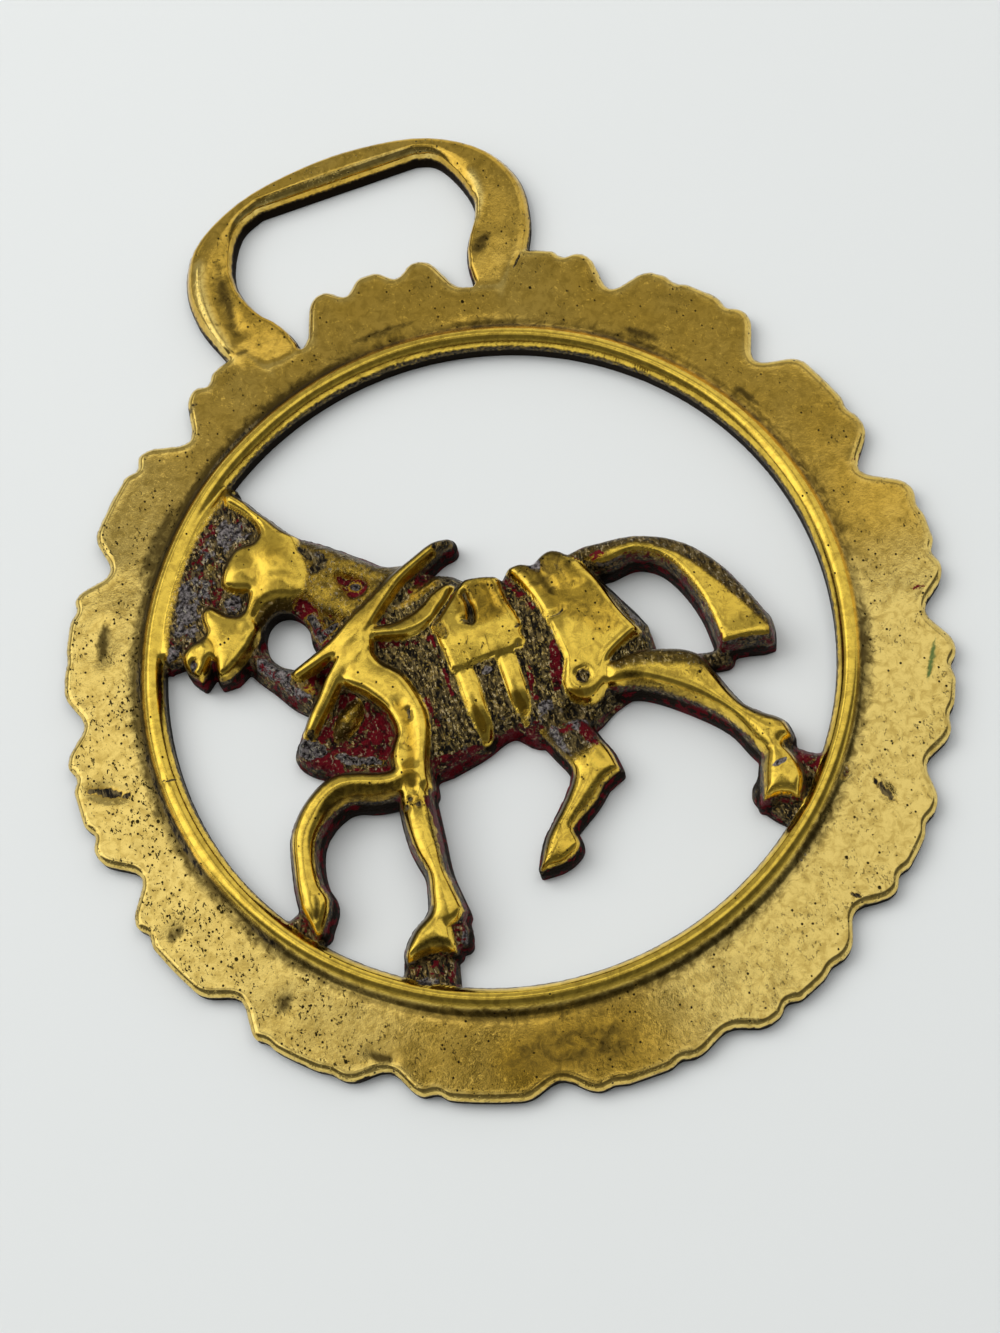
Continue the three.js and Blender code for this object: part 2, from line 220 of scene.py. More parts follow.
# ---- relief ----
class Relief:
    """The height and the finishes of the casting at a set of places."""

    def __init__(self, at):
        self.at = at
        self.z = np.full(len(at), -1.0)
        self.edge = np.full(len(at), -9.0)  # how far inside the casting's outline
        self.finish = {name: np.zeros(len(at)) for name in FINISHES}

    def near(self, low, high, reach):
        """The places in a box and up to this reach around it."""
        return np.flatnonzero(((self.at > low - reach) & (self.at < high + reach)).all(1))

    def paint(self, places, share, finish, whole=False):
        """Mixes in a finish. A whole one also takes away what it doesn't name."""
        for name in FINISHES if whole else finish:
            layer = self.finish[name]
            layer[places] += share * (finish.get(name, 0) - layer[places])

    def add(self, places, new, finish, blend=FILLET):
        """Fuses a form with what is there, with a small fillet between them."""
        old = self.z[places]
        share = np.clip(0.5 + 0.5 * (new - old) / blend, 0, 1)
        self.z[places] = old + (new - old) * share + blend * share * (1 - share)
        self.paint(places, share, finish, whole=True)

    def rise(self, plan, top, crown=0, spread=SPREAD, rounding=ROUND, blend=FILLET, dirty=0.1, **finish):
        """A form whose outline is at its top, domed by crown, above the limb's own heights if it has them.

        Its slopes are dirty, from this far inside the outline down.
        """
        places = self.near(plan.low, plan.high, spread + 0.1)
        depth = plan.depth(self.at[places])
        wall = np.clip((depth + spread) / (spread + rounding), 0, 1)
        dome = 1 - (1 - np.clip(depth / max(depth.max(initial=0), 0.1), 0, 1)) ** 2
        level = top + crown * dome
        if plan.limb and plan.path.shape[1] > 3:
            along = from_path(self.at[places], plan.path)[1]
            level += np.interp(along, np.linspace(0, 1, len(plan.path)), plan.path[:, 3])
        new = rounded(level, wall)
        self.add(places, new, finish, blend)
        shown = new > self.z[places] - 0.05
        self.paint(places, shown * soft_step(depth, dirty, dirty - 0.25), SLOPES)
        self.edge[places] = np.maximum(self.edge[places], depth + 0.9 * spread)

    def sink(self, plan, floor, soft=0.3, **finish):
        """A recess down to a floor, with soft walls inside its outline."""
        places = self.near(plan.low, plan.high, 0)
        share = soft_step(plan.depth(self.at[places]), 0, soft)
        self.z[places] += share * np.minimum(floor - self.z[places], 0)
        self.paint(places, share, finish, whole=True)

    def tint(self, plan, soft=0.6, **finish):
        """A finish on what is there, with a soft margin inside the outline."""
        places = self.near(plan.low, plan.high, 0)
        self.paint(places, soft_step(plan.depth(self.at[places]), 0, soft), finish)

    def stroke(self, points, width, height, **finish):
        """A ridge or a groove along a line, fading at both ends."""
        path = smooth_path(points)
        places = self.near(path.min(0), path.max(0), 3 * width)
        far, along, _ = from_path(self.at[places], path)
        share = np.exp(-((far / width) ** 2)) * soft_step(np.minimum(along, 1 - along), -0.02, 0.15)
        self.z[places] += height * share
        self.paint(places, share, finish)

    def swell(self, centre, radii, height, **finish):
        """A soft bulge."""
        away = (self.at - np.array(centre)) / np.array(radii)
        share = np.exp(-(away**2).sum(1))
        places = np.flatnonzero(share > 0.01)
        self.z[places] += height * share[places]
        self.paint(places, share[places], finish)

    def bow(self, plan, points, width, height):
        """Bends one form over a line, so that it falls away gently on both sides."""
        places = self.near(plan.low, plan.high, 0.2)
        far, _, _ = from_path(self.at[places], smooth_path(points))
        share = np.exp(-((far / width) ** 2)) * soft_step(plan.depth(self.at[places]), -0.2, 0.2)
        self.z[places] += height * share

    def chamfer(self, points, slope, reach, **finish):
        """A facet that falls away on the left of a line, so that the line is a ridge."""
        path = smooth_path(points)
        places = self.near(path.min(0), path.max(0), 1.7 * reach)
        far, along, side = from_path(self.at[places], path)
        down = np.where(side > 0, np.clip(far, 0, reach), 0)
        fade = soft_step(np.minimum(along, 1 - along), 0, 0.12) * soft_step(far, 1.7 * reach, reach)
        self.z[places] -= slope * down * fade
        self.paint(places, fade * (down > 0), finish)


# ---- the ring ----
def edge_radius(degrees):
    """Radius of the pie-crust edge at each angle."""
    angles, radii = [], []
    for k, (valley, half, low, crown, notches) in enumerate(LOBES):
        before = LOBES[k - 1][3]
        for share in np.linspace(-1, 1, 9):
            high = before if share < 0 else crown
            angles.append(valley + share * half)
            radii.append(low + (high - low) * (1 - math.cos(math.pi * share)) / 2)
        for notch, deep, *wide in notches:
            for side, drop in ((-1, 0), (-0.4, 0.7), (0, 1), (0.4, 0.7), (1, 0)):
                angles.append(notch + side * (wide[0] if wide else 1.5))
                radii.append(crown - deep * drop)
    angles, radii = np.array(angles) % 360, np.array(radii)
    order = angles.argsort()
    fine = np.arange(0, 360, 0.1)
    table = np.interp(fine, angles[order], radii[order], period=360)
    table = sum(np.roll(table, shift) for shift in range(-4, 5)) / 9
    return np.interp(degrees, fine, table, period=360)


# The rim's section as (radius, height): the inner wall, the round bead, then the groove at its foot.
RIM_SECTION = [(30.1, -0.4), (30.13, 0.8), (30.22, 1.5), (30.38, 2.1), (30.6, 2.54), (30.85, 2.79),
    (31.15, 2.9), (31.5, 2.88), (31.8, 2.72), (32.05, 2.4), (32.3, 2.05), (32.6, 1.84), (32.9, 1.78),
    (33.3, 1.8), (33.6, 1.8)]


def around(degrees, middle, far, near):
    """1 near one angle of the ring and 0 far from it."""
    return soft_step(np.abs((degrees - middle + 180) % 360 - 180), far, near)


def ring(relief):
    """The band with its filed edge, and the rim's bead inside it."""
    at = relief.at
    radius = np.hypot(at[:, 0], at[:, 1])
    degrees = np.degrees(np.arctan2(at[:, 1], at[:, 0])) % 360
    reach = edge_radius(degrees) - radius
    slope = (edge_radius(degrees + 0.5) - edge_radius(degrees - 0.5)) / (radius * math.radians(1) + 1e-9)
    reach /= np.hypot(1, slope)
    section = smooth_path(RIM_SECTION, steps=10)
    wobble = 0.05 * ripple(at, 7, 3)
    level = np.interp(radius + wobble, section[:, 0], section[:, 1])
    plain = soft_step(radius, 33, 34)
    level += plain * (0.05 * ripple(at, 9, 5) + 0.01 * ripple(at, 2.5, 6))
    level = rounded(level, np.clip((reach + 0.1) / 0.55, 0, 1))
    places = np.flatnonzero((radius > RIM_INNER - 0.1) & (reach > -0.1))
    # Painted reflection: the band's metal is paler and brighter around 185° and 316°, for the bright
    # reflections there; near the filed edge it is paler from polish of the worn edge and a painted highlight.
    left = around(degrees, 185, 75, 25)
    right = around(degrees, 316, 46, 28)
    gilt = np.where(radius < RIM_OUTER, 0.9,
        0.42 + 0.35 * left + 0.55 * right + 0.3 * soft_step(reach, 1.2, 0.1))
    relief.add(places, level[places], {})
    relief.finish["gilt"][places] = gilt[places]
    relief.finish["pits"][places] = np.where(radius < RIM_OUTER, 0.1, 0.45 + 0.55 * left)[places]
    foot = soft_step(radius, 31.9, 32.4) * soft_step(radius, 34.4, 32.3)
    dirtier = around(degrees, 160, 75, 35)
    relief.finish["film"][places] = (foot * (0.55 + 0.4 * dirtier + 0.25 * ripple(at, 5, 8)))[places]
    crumbs = soft_step(radius, 33.1, 32.4) * soft_step(radius, 32.0, 32.4) * (0.15 + 0.4 * dirtier)
    relief.finish["grime"][places] = np.clip(crumbs * (1 + ripple(at, 3, 9)), 0, 1)[places]
    lip = np.exp(-(((reach - 0.4) / 0.25) ** 2))
    relief.z[places] += (0.05 * lip)[places]
    relief.edge = np.maximum(relief.edge, np.minimum(radius - RIM_INNER, reach))


# Marks on the band: angle, radius, half length, half width, turn from the radius, depth, finish.
BLACK = {"grime": 1.3, "gilt": 0}
SMUDGE = {"film": 0.7, "grime": 0.25}
MARKS = [
    (180.5, 36.8, 2.0, 0.5, -28, 0.2, BLACK), (180.4, 36.8, 0.95, 0.65, -35, 0.1, BLACK),
    (179.4, 38.3, 0.5, 0.45, 0, 0.1, BLACK), (181.9, 35.3, 0.6, 0.42, 0, 0.1, BLACK),
    (319.5, 36.4, 1.8, 0.45, -28, 0.2, BLACK), (338.7, 38.4, 2.9, 0.55, 80, 0.0, {"green": 1}),
    (305.0, 38.4, 0.6, 0.3, 20, 0.1, BLACK), (186.0, 33.2, 0.9, 0.6, 40, 0.0, SMUDGE),
    (221.0, 36.2, 1.6, 1.2, 0, 0.02, SMUDGE), (48.0, 33.8, 0.8, 2.2, 0, 0.0, SMUDGE),
    (28.0, 33.5, 0.6, 1.8, 0, 0.0, SMUDGE), (305.5, 32.8, 0.5, 1.6, 0, 0.0, {"grey": 0.8, "grime": 0.4}),
    (141.0, 33.6, 1.2, 4.6, 0, 0.0, SMUDGE), (10.0, 37.2, 1.2, 0.5, 20, 0.0, {"red": 0.75}),
    (349.0, 38.2, 1.0, 0.5, 0, 0.0, {"red": 0.7}), (203.0, 37.6, 1.4, 1.0, 0, 0.05, SMUDGE),
    (158.0, 36.0, 1.2, 2.4, 0, 0.05, SMUDGE), (236.0, 37.4, 0.8, 1.6, 0, 0.05, SMUDGE),
    (120.0, 38.2, 0.8, 1.4, 0, 0.0, {"grime": 0.6}), (90.0, 34.0, 0.8, 3.6, 0, 0.0, SMUDGE),
    # Painted reflection: this broad, duller and darker patch at the bottom of the band stands for the dark
    # reflection of what is near the camera.
    (262.0, 36.0, 4.5, 8.5, 0, 0.0, {"film": 0.5, "gilt": 0.3}),
]


def marks(relief):
    """Dents, stains and patches on the band, one of them a painted dark reflection, and the crack in the rim.
    """
    for degrees, radius, half_long, half_wide, turn, deep, finish in MARKS:
        a = math.radians(degrees)
        mark = oval((radius * math.cos(a), radius * math.sin(a)), (half_long, half_wide), degrees + turn)
        relief.tint(mark, min(half_long, half_wide) * 0.9, **finish)
        if deep:
            places = relief.near(mark.low, mark.high, 0)
            relief.z[places] -= deep * soft_step(mark.depth(relief.at[places]), 0, 0.4)
    crack = [(-31.9, -1.2), (-31.2, -1.5), (-30.4, -1.4)]
    relief.stroke(crack, 0.12, -0.2, grime=0.9)


def hanger(relief):
    """The flat loop for the strap, worn on its top edge."""
    outer = Plan([
        (-13, 33, SHARP), (-14.4, 37.2, SHARP), (-15.9, 41.5), (-15.9, 45.2), (-14.2, 48.8), (-9, 52),
        (-2, 53.4), (4, 53.4), (10.5, 52), (15.2, 48.6), (17, 44.6), (16.6, 40.6), (15.4, 37.8, SHARP),
        (13.4, 33, SHARP),
    ])
    slot = Plan([(-7.2, 50.5, SHARP), (-9.6, 49.2), (-11.6, 44.6), (-10.5, 40.8), (-8.8, 38.6),
        (-7.9, 36.6), (-7.5, 34, SHARP), (9.4, 34, SHARP), (9.7, 36.6), (9.8, 38.2), (10.4, 40.2),
        (12.3, 43.6), (11.6, 47.4), (10.2, 49.8), (8.6, 50.5, SHARP)])
    places = relief.near(outer.low, outer.high, 0.5)
    at = relief.at[places]
    depth = outer.depth(at)
    inner = -slot.depth(at)
    across = np.minimum(depth, inner)
    foot, top = HANGER_SLOPE
    rise = np.minimum((at[:, 1] - foot) / (top - foot), 1)
    level = BAND_TOP + 0.04 + (HANGER_TOP - BAND_TOP - 0.04) * rise
    level += 0.1 * soft_step(across, 0.3, 1.8) * rise
    level -= 0.75 * soft_step(inner, 0.9, 0.05) * soft_step(at[:, 1], 44, 50)  # the strap wore the top edge
    level = np.where(inner > 0.02, rounded(level, np.clip((depth + 0.4) / 0.85, 0, 1)), -1)
    relief.add(places, level, {"gilt": 0.42, "pits": 0.45, "film": 0.06}, blend=0.12)
    relief.edge[places] = np.maximum(relief.edge[places], np.minimum(depth + 0.36, inner))
    relief.stroke([(-14.2, 36.6), (-14.9, 40), (-15, 44), (-14, 47.8)], 0.55, 0.35, gilt=1)
    relief.tint(limb((-9.6, 50.1, 0.4), (-7, 51, 0.5), (0, 51.3, 0.5), (8.4, 51.1, 0.5), (10.8, 50, 0.4)),
        gilt=1)
    relief.stroke([(13.1, 47.4), (13.2, 44.4), (11.4, 41.2)], 0.4, 0.08, gilt=0.9)
    relief.stroke([(-12.9, 38), (-13.2, 41.4), (-12.7, 46.8)], 0.8, -0.15, film=0.5)
    relief.tint(oval((-12.8, 42.6), (0.9, 2.6)), 0.9, film=0.7, grime=0.2)
    relief.tint(oval((-13, 36.8), (0.9, 0.5)), 0.5, film=0.6, grime=0.2)
    relief.tint(oval((11.6, 39.4), (1.8, 1.3), 30), 1.2, film=0.75, grime=0.15, pits=1)
    relief.tint(oval((9.7, 37.4), (0.35, 1.1), -10), 0.2, red=1, grime=0.5)
    relief.stroke([(15, 37.3), (14.2, 36.4), (13.6, 35.8)], 0.14, -0.12, grime=0.9)


# ---- the horse ----
def head(relief):
    throat = Plan([(-21.6, 8), (-19.8, 9), (-19.4, 6.4), (-17.6, 4.6), (-15.8, 2.4), (-16.6, 0.6),
        (-18.2, 1.8), (-19.6, 4), (-21, 6.2)])
    relief.rise(throat, 2.3, crown=0.5, spread=0.5, rounding=0.8, **DIRTY_PAINT)
    recess = Plan([(-18.9, 23.4, SHARP), (-17.4, 21.8), (-16.4, 19.4), (-16.4, 17), (-18.8, 16.4),
        (-20.6, 14.2), (-18.8, 12.9), (-20, 10.7), (-22.4, 10.8), (-23.5, 11.4), (-23.6, 9.8), (-26, 9.4),
        (-28.3, 9.2, SHARP), (-27.9, 11.6), (-26.6, 14.6), (-24.8, 17.4), (-22.4, 20.2), (-20, 22.4)])
    relief.rise(recess, 2.6, crown=0.25, grey=0.5, red=0.45, grime=1, cast=0.9)
    relief.tint(oval((-18.7, 19), (2.4, 1.8), -10), 1.2, grey=0.75, red=0.25, grime=1)
    relief.tint(oval((-25.2, 12.8), (1.7, 3.2), -15), 1.2, grey=0.65, red=0.3, grime=1)
    relief.tint(oval((-20.9, 12.3), (1.6, 1.1), 20), 0.5, grey=1, red=0.4, grime=0.5)
    relief.tint(limb((-19.6, 21.4, 0.5), (-22.6, 18.8, 0.6), (-24.6, 16.2, 0.5)), 0.5, red=0.62, grey=0.2)
    relief.tint(oval((-21.9, 16.3), (0.9, 1.2)), 0.6, gilt=0.6, grime=0.6, grey=0.2)
    bead = limb((-18.4, 23.2, 0.7), (-21.8, 20.7, 0.75), (-24.8, 17.2, 0.75), (-26.8, 13.6, 0.75),
        (-28.2, 10.4, 0.7))
    relief.rise(bead, 2.7, spread=0.3, rounding=0.6, blend=0.5, **POLISHED)
    side = Plan([
        (-18.6, 23.4, SHARP), (-17.3, 22), (-16.5, 20.6), (-15.5, 19.2), (-14.7, 17.9), (-13.6, 16.6, SHARP),
        (-13.4, 13), (-13.8, 11.6, SHARP), (-14.3, 10.9), (-15.4, 10.7), (-16.4, 11.1), (-17.8, 11.35),
        (-18.8, 11), (-19.5, 10.2, SHARP), (-19.3, 9.2), (-20, 8.1), (-20.9, 7.3), (-22.3, 6.3), (-23.4, 5.8),
        (-24.2, 5.9, SHARP), (-24.4, 7.6, SHARP), (-25.8, 6.4, SHARP), (-26.6, 7.6), (-26.8, 9, SHARP),
        (-26, 9.9), (-25, 10.1), (-24.1, 10.5), (-24.1, 11.6), (-23.9, 12.5), (-23.3, 12.95), (-22.7, 12.6),
        (-22, 11.8), (-21.1, 11.2), (-20.3, 11.3), (-19.8, 12), (-19.3, 12.85, SHARP), (-20.4, 13.2),
        (-21.2, 13.8), (-21.5, 14.4, SHARP), (-21.2, 15.2), (-20.5, 16.3), (-19.6, 17.2), (-18.7, 17.5),
        (-17.6, 17.4), (-16.9, 17.9), (-16.9, 19), (-17.4, 20), (-18.2, 21), (-19, 22, SHARP),
    ])
    relief.rise(side, 3.75, crown=0.25, spread=0.3, rounding=0.5, gilt=0.8, pits=0.25)
    jaw_skirt = Plan([
        (-19.9, 9.8), (-18.8, 11.2), (-17.5, 11.6), (-15.8, 11.2), (-14.6, 10.6), (-15.4, 9.6), (-17.4, 9.7),
        (-19, 9.2),
    ])
    relief.rise(jaw_skirt, 3.3, spread=0.3, rounding=0.6, gilt=0.3, film=0.9, cast=0.2)
    relief.swell((-19.7, 15), (1.7, 1.5), 0.3)
    relief.swell((-16.4, 12.6), (2.2, 1.4), 0.2)
    relief.swell((-16.2, 15.4), (1.6, 2.2), 0.3, gilt=0.55)
    relief.stroke([(-19, 16.8), (-18.2, 15.3), (-17.9, 13.9), (-18.6, 12.3), (-19.6, 10.9), (-20.7, 9.5),
        (-21.4, 8.3)], 0.55, -0.1, gilt=0.6)
    relief.stroke([(-18.1, 15), (-17.1, 14.2), (-15.6, 13.4), (-14.4, 12)], 0.6, -0.07, gilt=0.7)
    relief.stroke([(-24.9, 9.6), (-24.4, 8.7), (-24.8, 7.8)], 0.5, 0.2, **POLISHED)
    relief.stroke([(-24.1, 10.2), (-23.8, 8.8), (-24.2, 7.6), (-24.7, 5.9)], 0.35, -0.3, gilt=0.4)
    relief.stroke([(-20.6, 10.8), (-20.4, 9.6), (-20.9, 8.4)], 0.5, 0.1, **POLISHED)
    relief.sink(oval((-26, 7.8), (0.65, 0.42), 60), 3.2, 0.25, grey=0.7, red=0.6, cast=0.6)
    relief.tint(oval((-27.3, 9.3), (0.9, 1.1)), 0.4, grey=0.6, red=0.4, grime=0.5, cast=0.8)
    relief.sink(oval((-27.8, 9), (0.5, 0.4)), 1.9, 0.3, red=0.6, grime=0.8)
    relief.stroke([(-24.2, 8), (-24.5, 7), (-24.8, 5.8)], 0.25, -1.0, red=1, grime=0.4, gilt=0)
    relief.chamfer([(-25.2, 6.1), (-23.4, 6.5), (-22, 7.3), (-20.8, 8.2), (-20, 9.1)][::-1], 0.4, 1.2,
        film=0.4)


def neck(relief):
    side = Plan([(-15.4, 18.8, SHARP), (-14, 17), (-12.6, 16), (-10.8, 14.6), (-9, 13), (-7, 11.3),
        (-4.4, 10.6, SHARP), (-8, 7, SHARP), (-11, 6.2), (-14.6, 5.2, SHARP), (-15.1, 7), (-16, 8.5),
        (-16.6, 10.2), (-15.6, 13)])
    relief.rise(side, 3.35, crown=0.55, rounding=1.3, dirty=0.4, gilt=0.5, film=0.45, grime=0.35, cast=0.6,
        pits=0.8)
    relief.stroke([(-14, 16.6), (-13.4, 15.4), (-13.3, 14), (-13.6, 12.2)], 0.5, -0.25, grime=0.35)
    relief.rise(Plan([(-14.1, 11.4), (-12.6, 11.9), (-11.8, 10.6), (-10.6, 8.7), (-9.4, 8), (-10.8, 7.2),
        (-12.8, 8), (-13.8, 9.6)]), 3.6, crown=0.2, rounding=1.2, blend=0.5, dirty=-0.4, gilt=0.65,
        pits=0.7, cast=0.3, film=0.2)
    pit = Plan([(-11.5, 11.8), (-10.2, 11.3), (-8.5, 10, SHARP), (-9.2, 9.1), (-10.6, 8.8), (-11.3, 9.8)])
    relief.sink(pit, 2.9, 0.35, red=1, grime=0.3, cast=0.6)
    scaled = {"grey": 1, "red": 0.1, "cast": 0.8}
    relief.rise(oval((-10, 10), (0.85, 0.7), -35), 3.2, spread=0.2, rounding=0.5, **scaled)
    relief.rise(oval((-9.2, 8.6), (1.3, 0.5), 28), 3.3, spread=0.3, rounding=0.5,
        **scaled | {"grime": 0.4, "red": 0.3})
    relief.stroke([(-13.9, 15.7), (-13.2, 14.6), (-12.3, 13.8), (-11.6, 13.6)], 0.4, -0.3, grime=0.9,
        grey=0.5)
    relief.tint(oval((-12.5, 12.9), (1.1, 0.8), 20), 0.5, grime=0.9, cast=1, gilt=0.1)
    relief.tint(Plan([(-13.6, 16.3), (-11.6, 15.2), (-7.4, 11.6), (-7, 10.6), (-8.4, 11.4), (-12, 14.2)]),
        0.7, grime=0.4, film=0.7, gilt=0.3)
    dip = Plan([(-16.5, 9.8), (-15.3, 10.9), (-14.3, 10.9), (-13.8, 9.6), (-13.1, 8.6), (-11, 7.3, SHARP),
        (-12.7, 6.2), (-14.9, 5, SHARP), (-15.4, 6.8), (-16.2, 8.4)])
    relief.sink(dip, 2.6, 0.5, grey=0.5, red=0.5, grime=0.4, cast=1)
    relief.rise(oval((-13.2, 7), (1.6, 0.6), 25), 3.1, spread=0.3, rounding=0.6, blend=0.3,
        **scaled | {"red": 0.3})
    relief.rise(oval((-14.6, 8.4), (0.5, 1), 10), 2.95, spread=0.3, rounding=0.6, blend=0.3,
        **scaled | {"red": 0.3})
    relief.tint(oval((-15.2, 9.9), (1.1, 1)), 0.3, red=1, grey=0, grime=0.2)


def trunk(relief):
    side = Plan([(-9, 9), (-5, 9.4), (-2, 8.6), (-0.6, 7.5), (1, 6.9), (2.3, 6.3), (7.4, 6.9), (9.6, 5.2),
        (12, 0.9), (13.3, -2.6), (12.4, -6.4), (8.2, -8), (5.8, -9.2), (1, -9), (-0.9, -7.3), (-4.6, -8.3),
        (-9.6, -8.4), (-11, 0)])
    relief.rise(side, 2.7, crown=1.1, rounding=1.5, **AS_CAST)
    for x, top, bottom in ((-9, 2.4, -1), (-8.4, 1, -3.6), (-7.4, 1.8, -5), (-6.6, -1, -6.6),
            (-5.9, 2, -3.6), (-5.2, -1, -7), (-1.7, -2, -7), (2.4, -2, -7), (3.2, 4, -2), (3.9, 1, -5)):
        relief.stroke([(x, top), (x + 0.3, (top + bottom) / 2), (x + 0.1, bottom)], 0.2, 0.16, gilt=0.5)
    withers = limb((-7.8, 6.6, 0.4), (-5.4, 7, 0.7), (-3, 8, 0.5))
    relief.rise(withers, 3.5, spread=0.3, rounding=0.6, gilt=0.25, grime=0.45, cast=0.4)
    relief.tint(limb((-8.4, 5.9, 0.4), (-7.4, 7, 0.35), (-6, 8, 0.3)), 0.2, grey=0.7, grime=0.5)
    relief.tint(oval((-4.4, 8.4), (1.7, 0.7), 30), 0.3, red=1, grime=0.3)
    relief.tint(oval((-8.5, 5.8), (0.5, 0.5)), 0.2, red=1)
    belly = limb((-9.2, -8.2, 0.9), (-6, -8.4, 0.8), (-2.5, -7.9, 0.8), (0.2, -7.9, 0.9), (2, -8.6, 0.8))
    relief.tint(belly, 0.3, red=0.95, cast=0.8, grime=1)
    relief.tint(limb((2.9, 6.2, 0.3), (3.6, 4.4, 0.45), (4.3, 2.4, 0.4)), 0.15, red=1, grey=0)
    relief.tint(limb((5, -1.6, 0.4), (4.6, -3.6, 0.7), (4, -5.4, 0.5)), 0.2, red=1, grey=0)
    relief.tint(limb((2.6, 5.2, 0.25), (2.6, 4, 0.25)), 0.1, red=1)
    relief.tint(limb((2.2, -3, 0.4), (2, -5.6, 0.5)), 0.2, red=0.8)
    relief.tint(limb((-5, 2.8, 0.2), (-4.9, -3, 0.2)), 0.1, red=0.9)
    relief.tint(limb((-7.2, -2.6, 0.4), (-7, -5, 0.4)), 0.2, red=1)
    relief.tint(limb((-9.6, 3.8, 0.3), (-6.4, 3, 0.35), (-4.8, 2.8, 0.3)), 0.15, red=0.9)
    relief.tint(oval((-1.4, -1.8), (0.8, 0.6)), 0.3, grey=0.8)
    relief.tint(oval((2.5, -7.4), (1.1, 1.5)), 0.4, grey=0.5, gilt=0.5, red=0.2)
    rump = Plan([(9.6, 5), (10.4, 3.4), (11.6, 1.6), (12.6, -0.6), (13.4, -2.4), (12.4, -2.6), (11.6, -0.6),
        (11, 1.6)])
    relief.rise(rump, 2.9, crown=0.4, spread=0.3, rounding=0.6, grime=0.7, cast=1, grey=0.3)
    relief.tint(oval((10.8, 4.6), (0.8, 0.6), -20), 0.2, red=1, grime=0.2)


def breast(relief):
    web = Plan([
        (-13, 2.6, SHARP), (-16.6, 0.6), (-18.6, -1.4), (-19.6, -3.1), (-18.9, -4.3), (-17.4, -5.4),
        (-16.2, -6.4, SHARP), (-11.4, -7.8, SHARP), (-10.4, -1, SHARP),
    ])
    relief.rise(web, 2.2, spread=0.5, rounding=0.6, crown=0.2, red=0.95, grey=0.1, cast=1, grime=1)
    scaled = {"grey": 0.95, "red": 0.2, "cast": 0.8, "grime": 0.2}
    for place, radii, turn, level in (
        ((-18.2, -3), (1.4, 0.9), -35, 2.7),
        ((-15.9, -0.7), (1.1, 0.5), 42, 2.8),
        ((-14.4, -5.6), (2.3, 0.5), -22, 2.7),
        ((-16, -4.6), (0.9, 0.5), -30, 2.6),
        ((-13, -6.4), (0.8, 0.35), -30, 2.5),
    ):
        relief.rise(oval(place, radii, turn), level, spread=0.3, rounding=0.5, blend=0.3, **scaled)
    relief.tint(oval((-18.7, -1.9), (0.6, 0.5)), 0.3, grime=1, red=0)
    boss = oval((-14.3, -1.6), (2.4, 1.25), 42)
    relief.rise(boss, 2.9, crown=0.5, spread=0.4, rounding=1.1, blend=0.5, dirty=-0.2, gilt=0.5, film=0.4,
        cast=0.5)
    relief.tint(oval((-15.4, -2.6), (1.2, 0.9), 42), 0.5, grime=0.4, film=0.9)


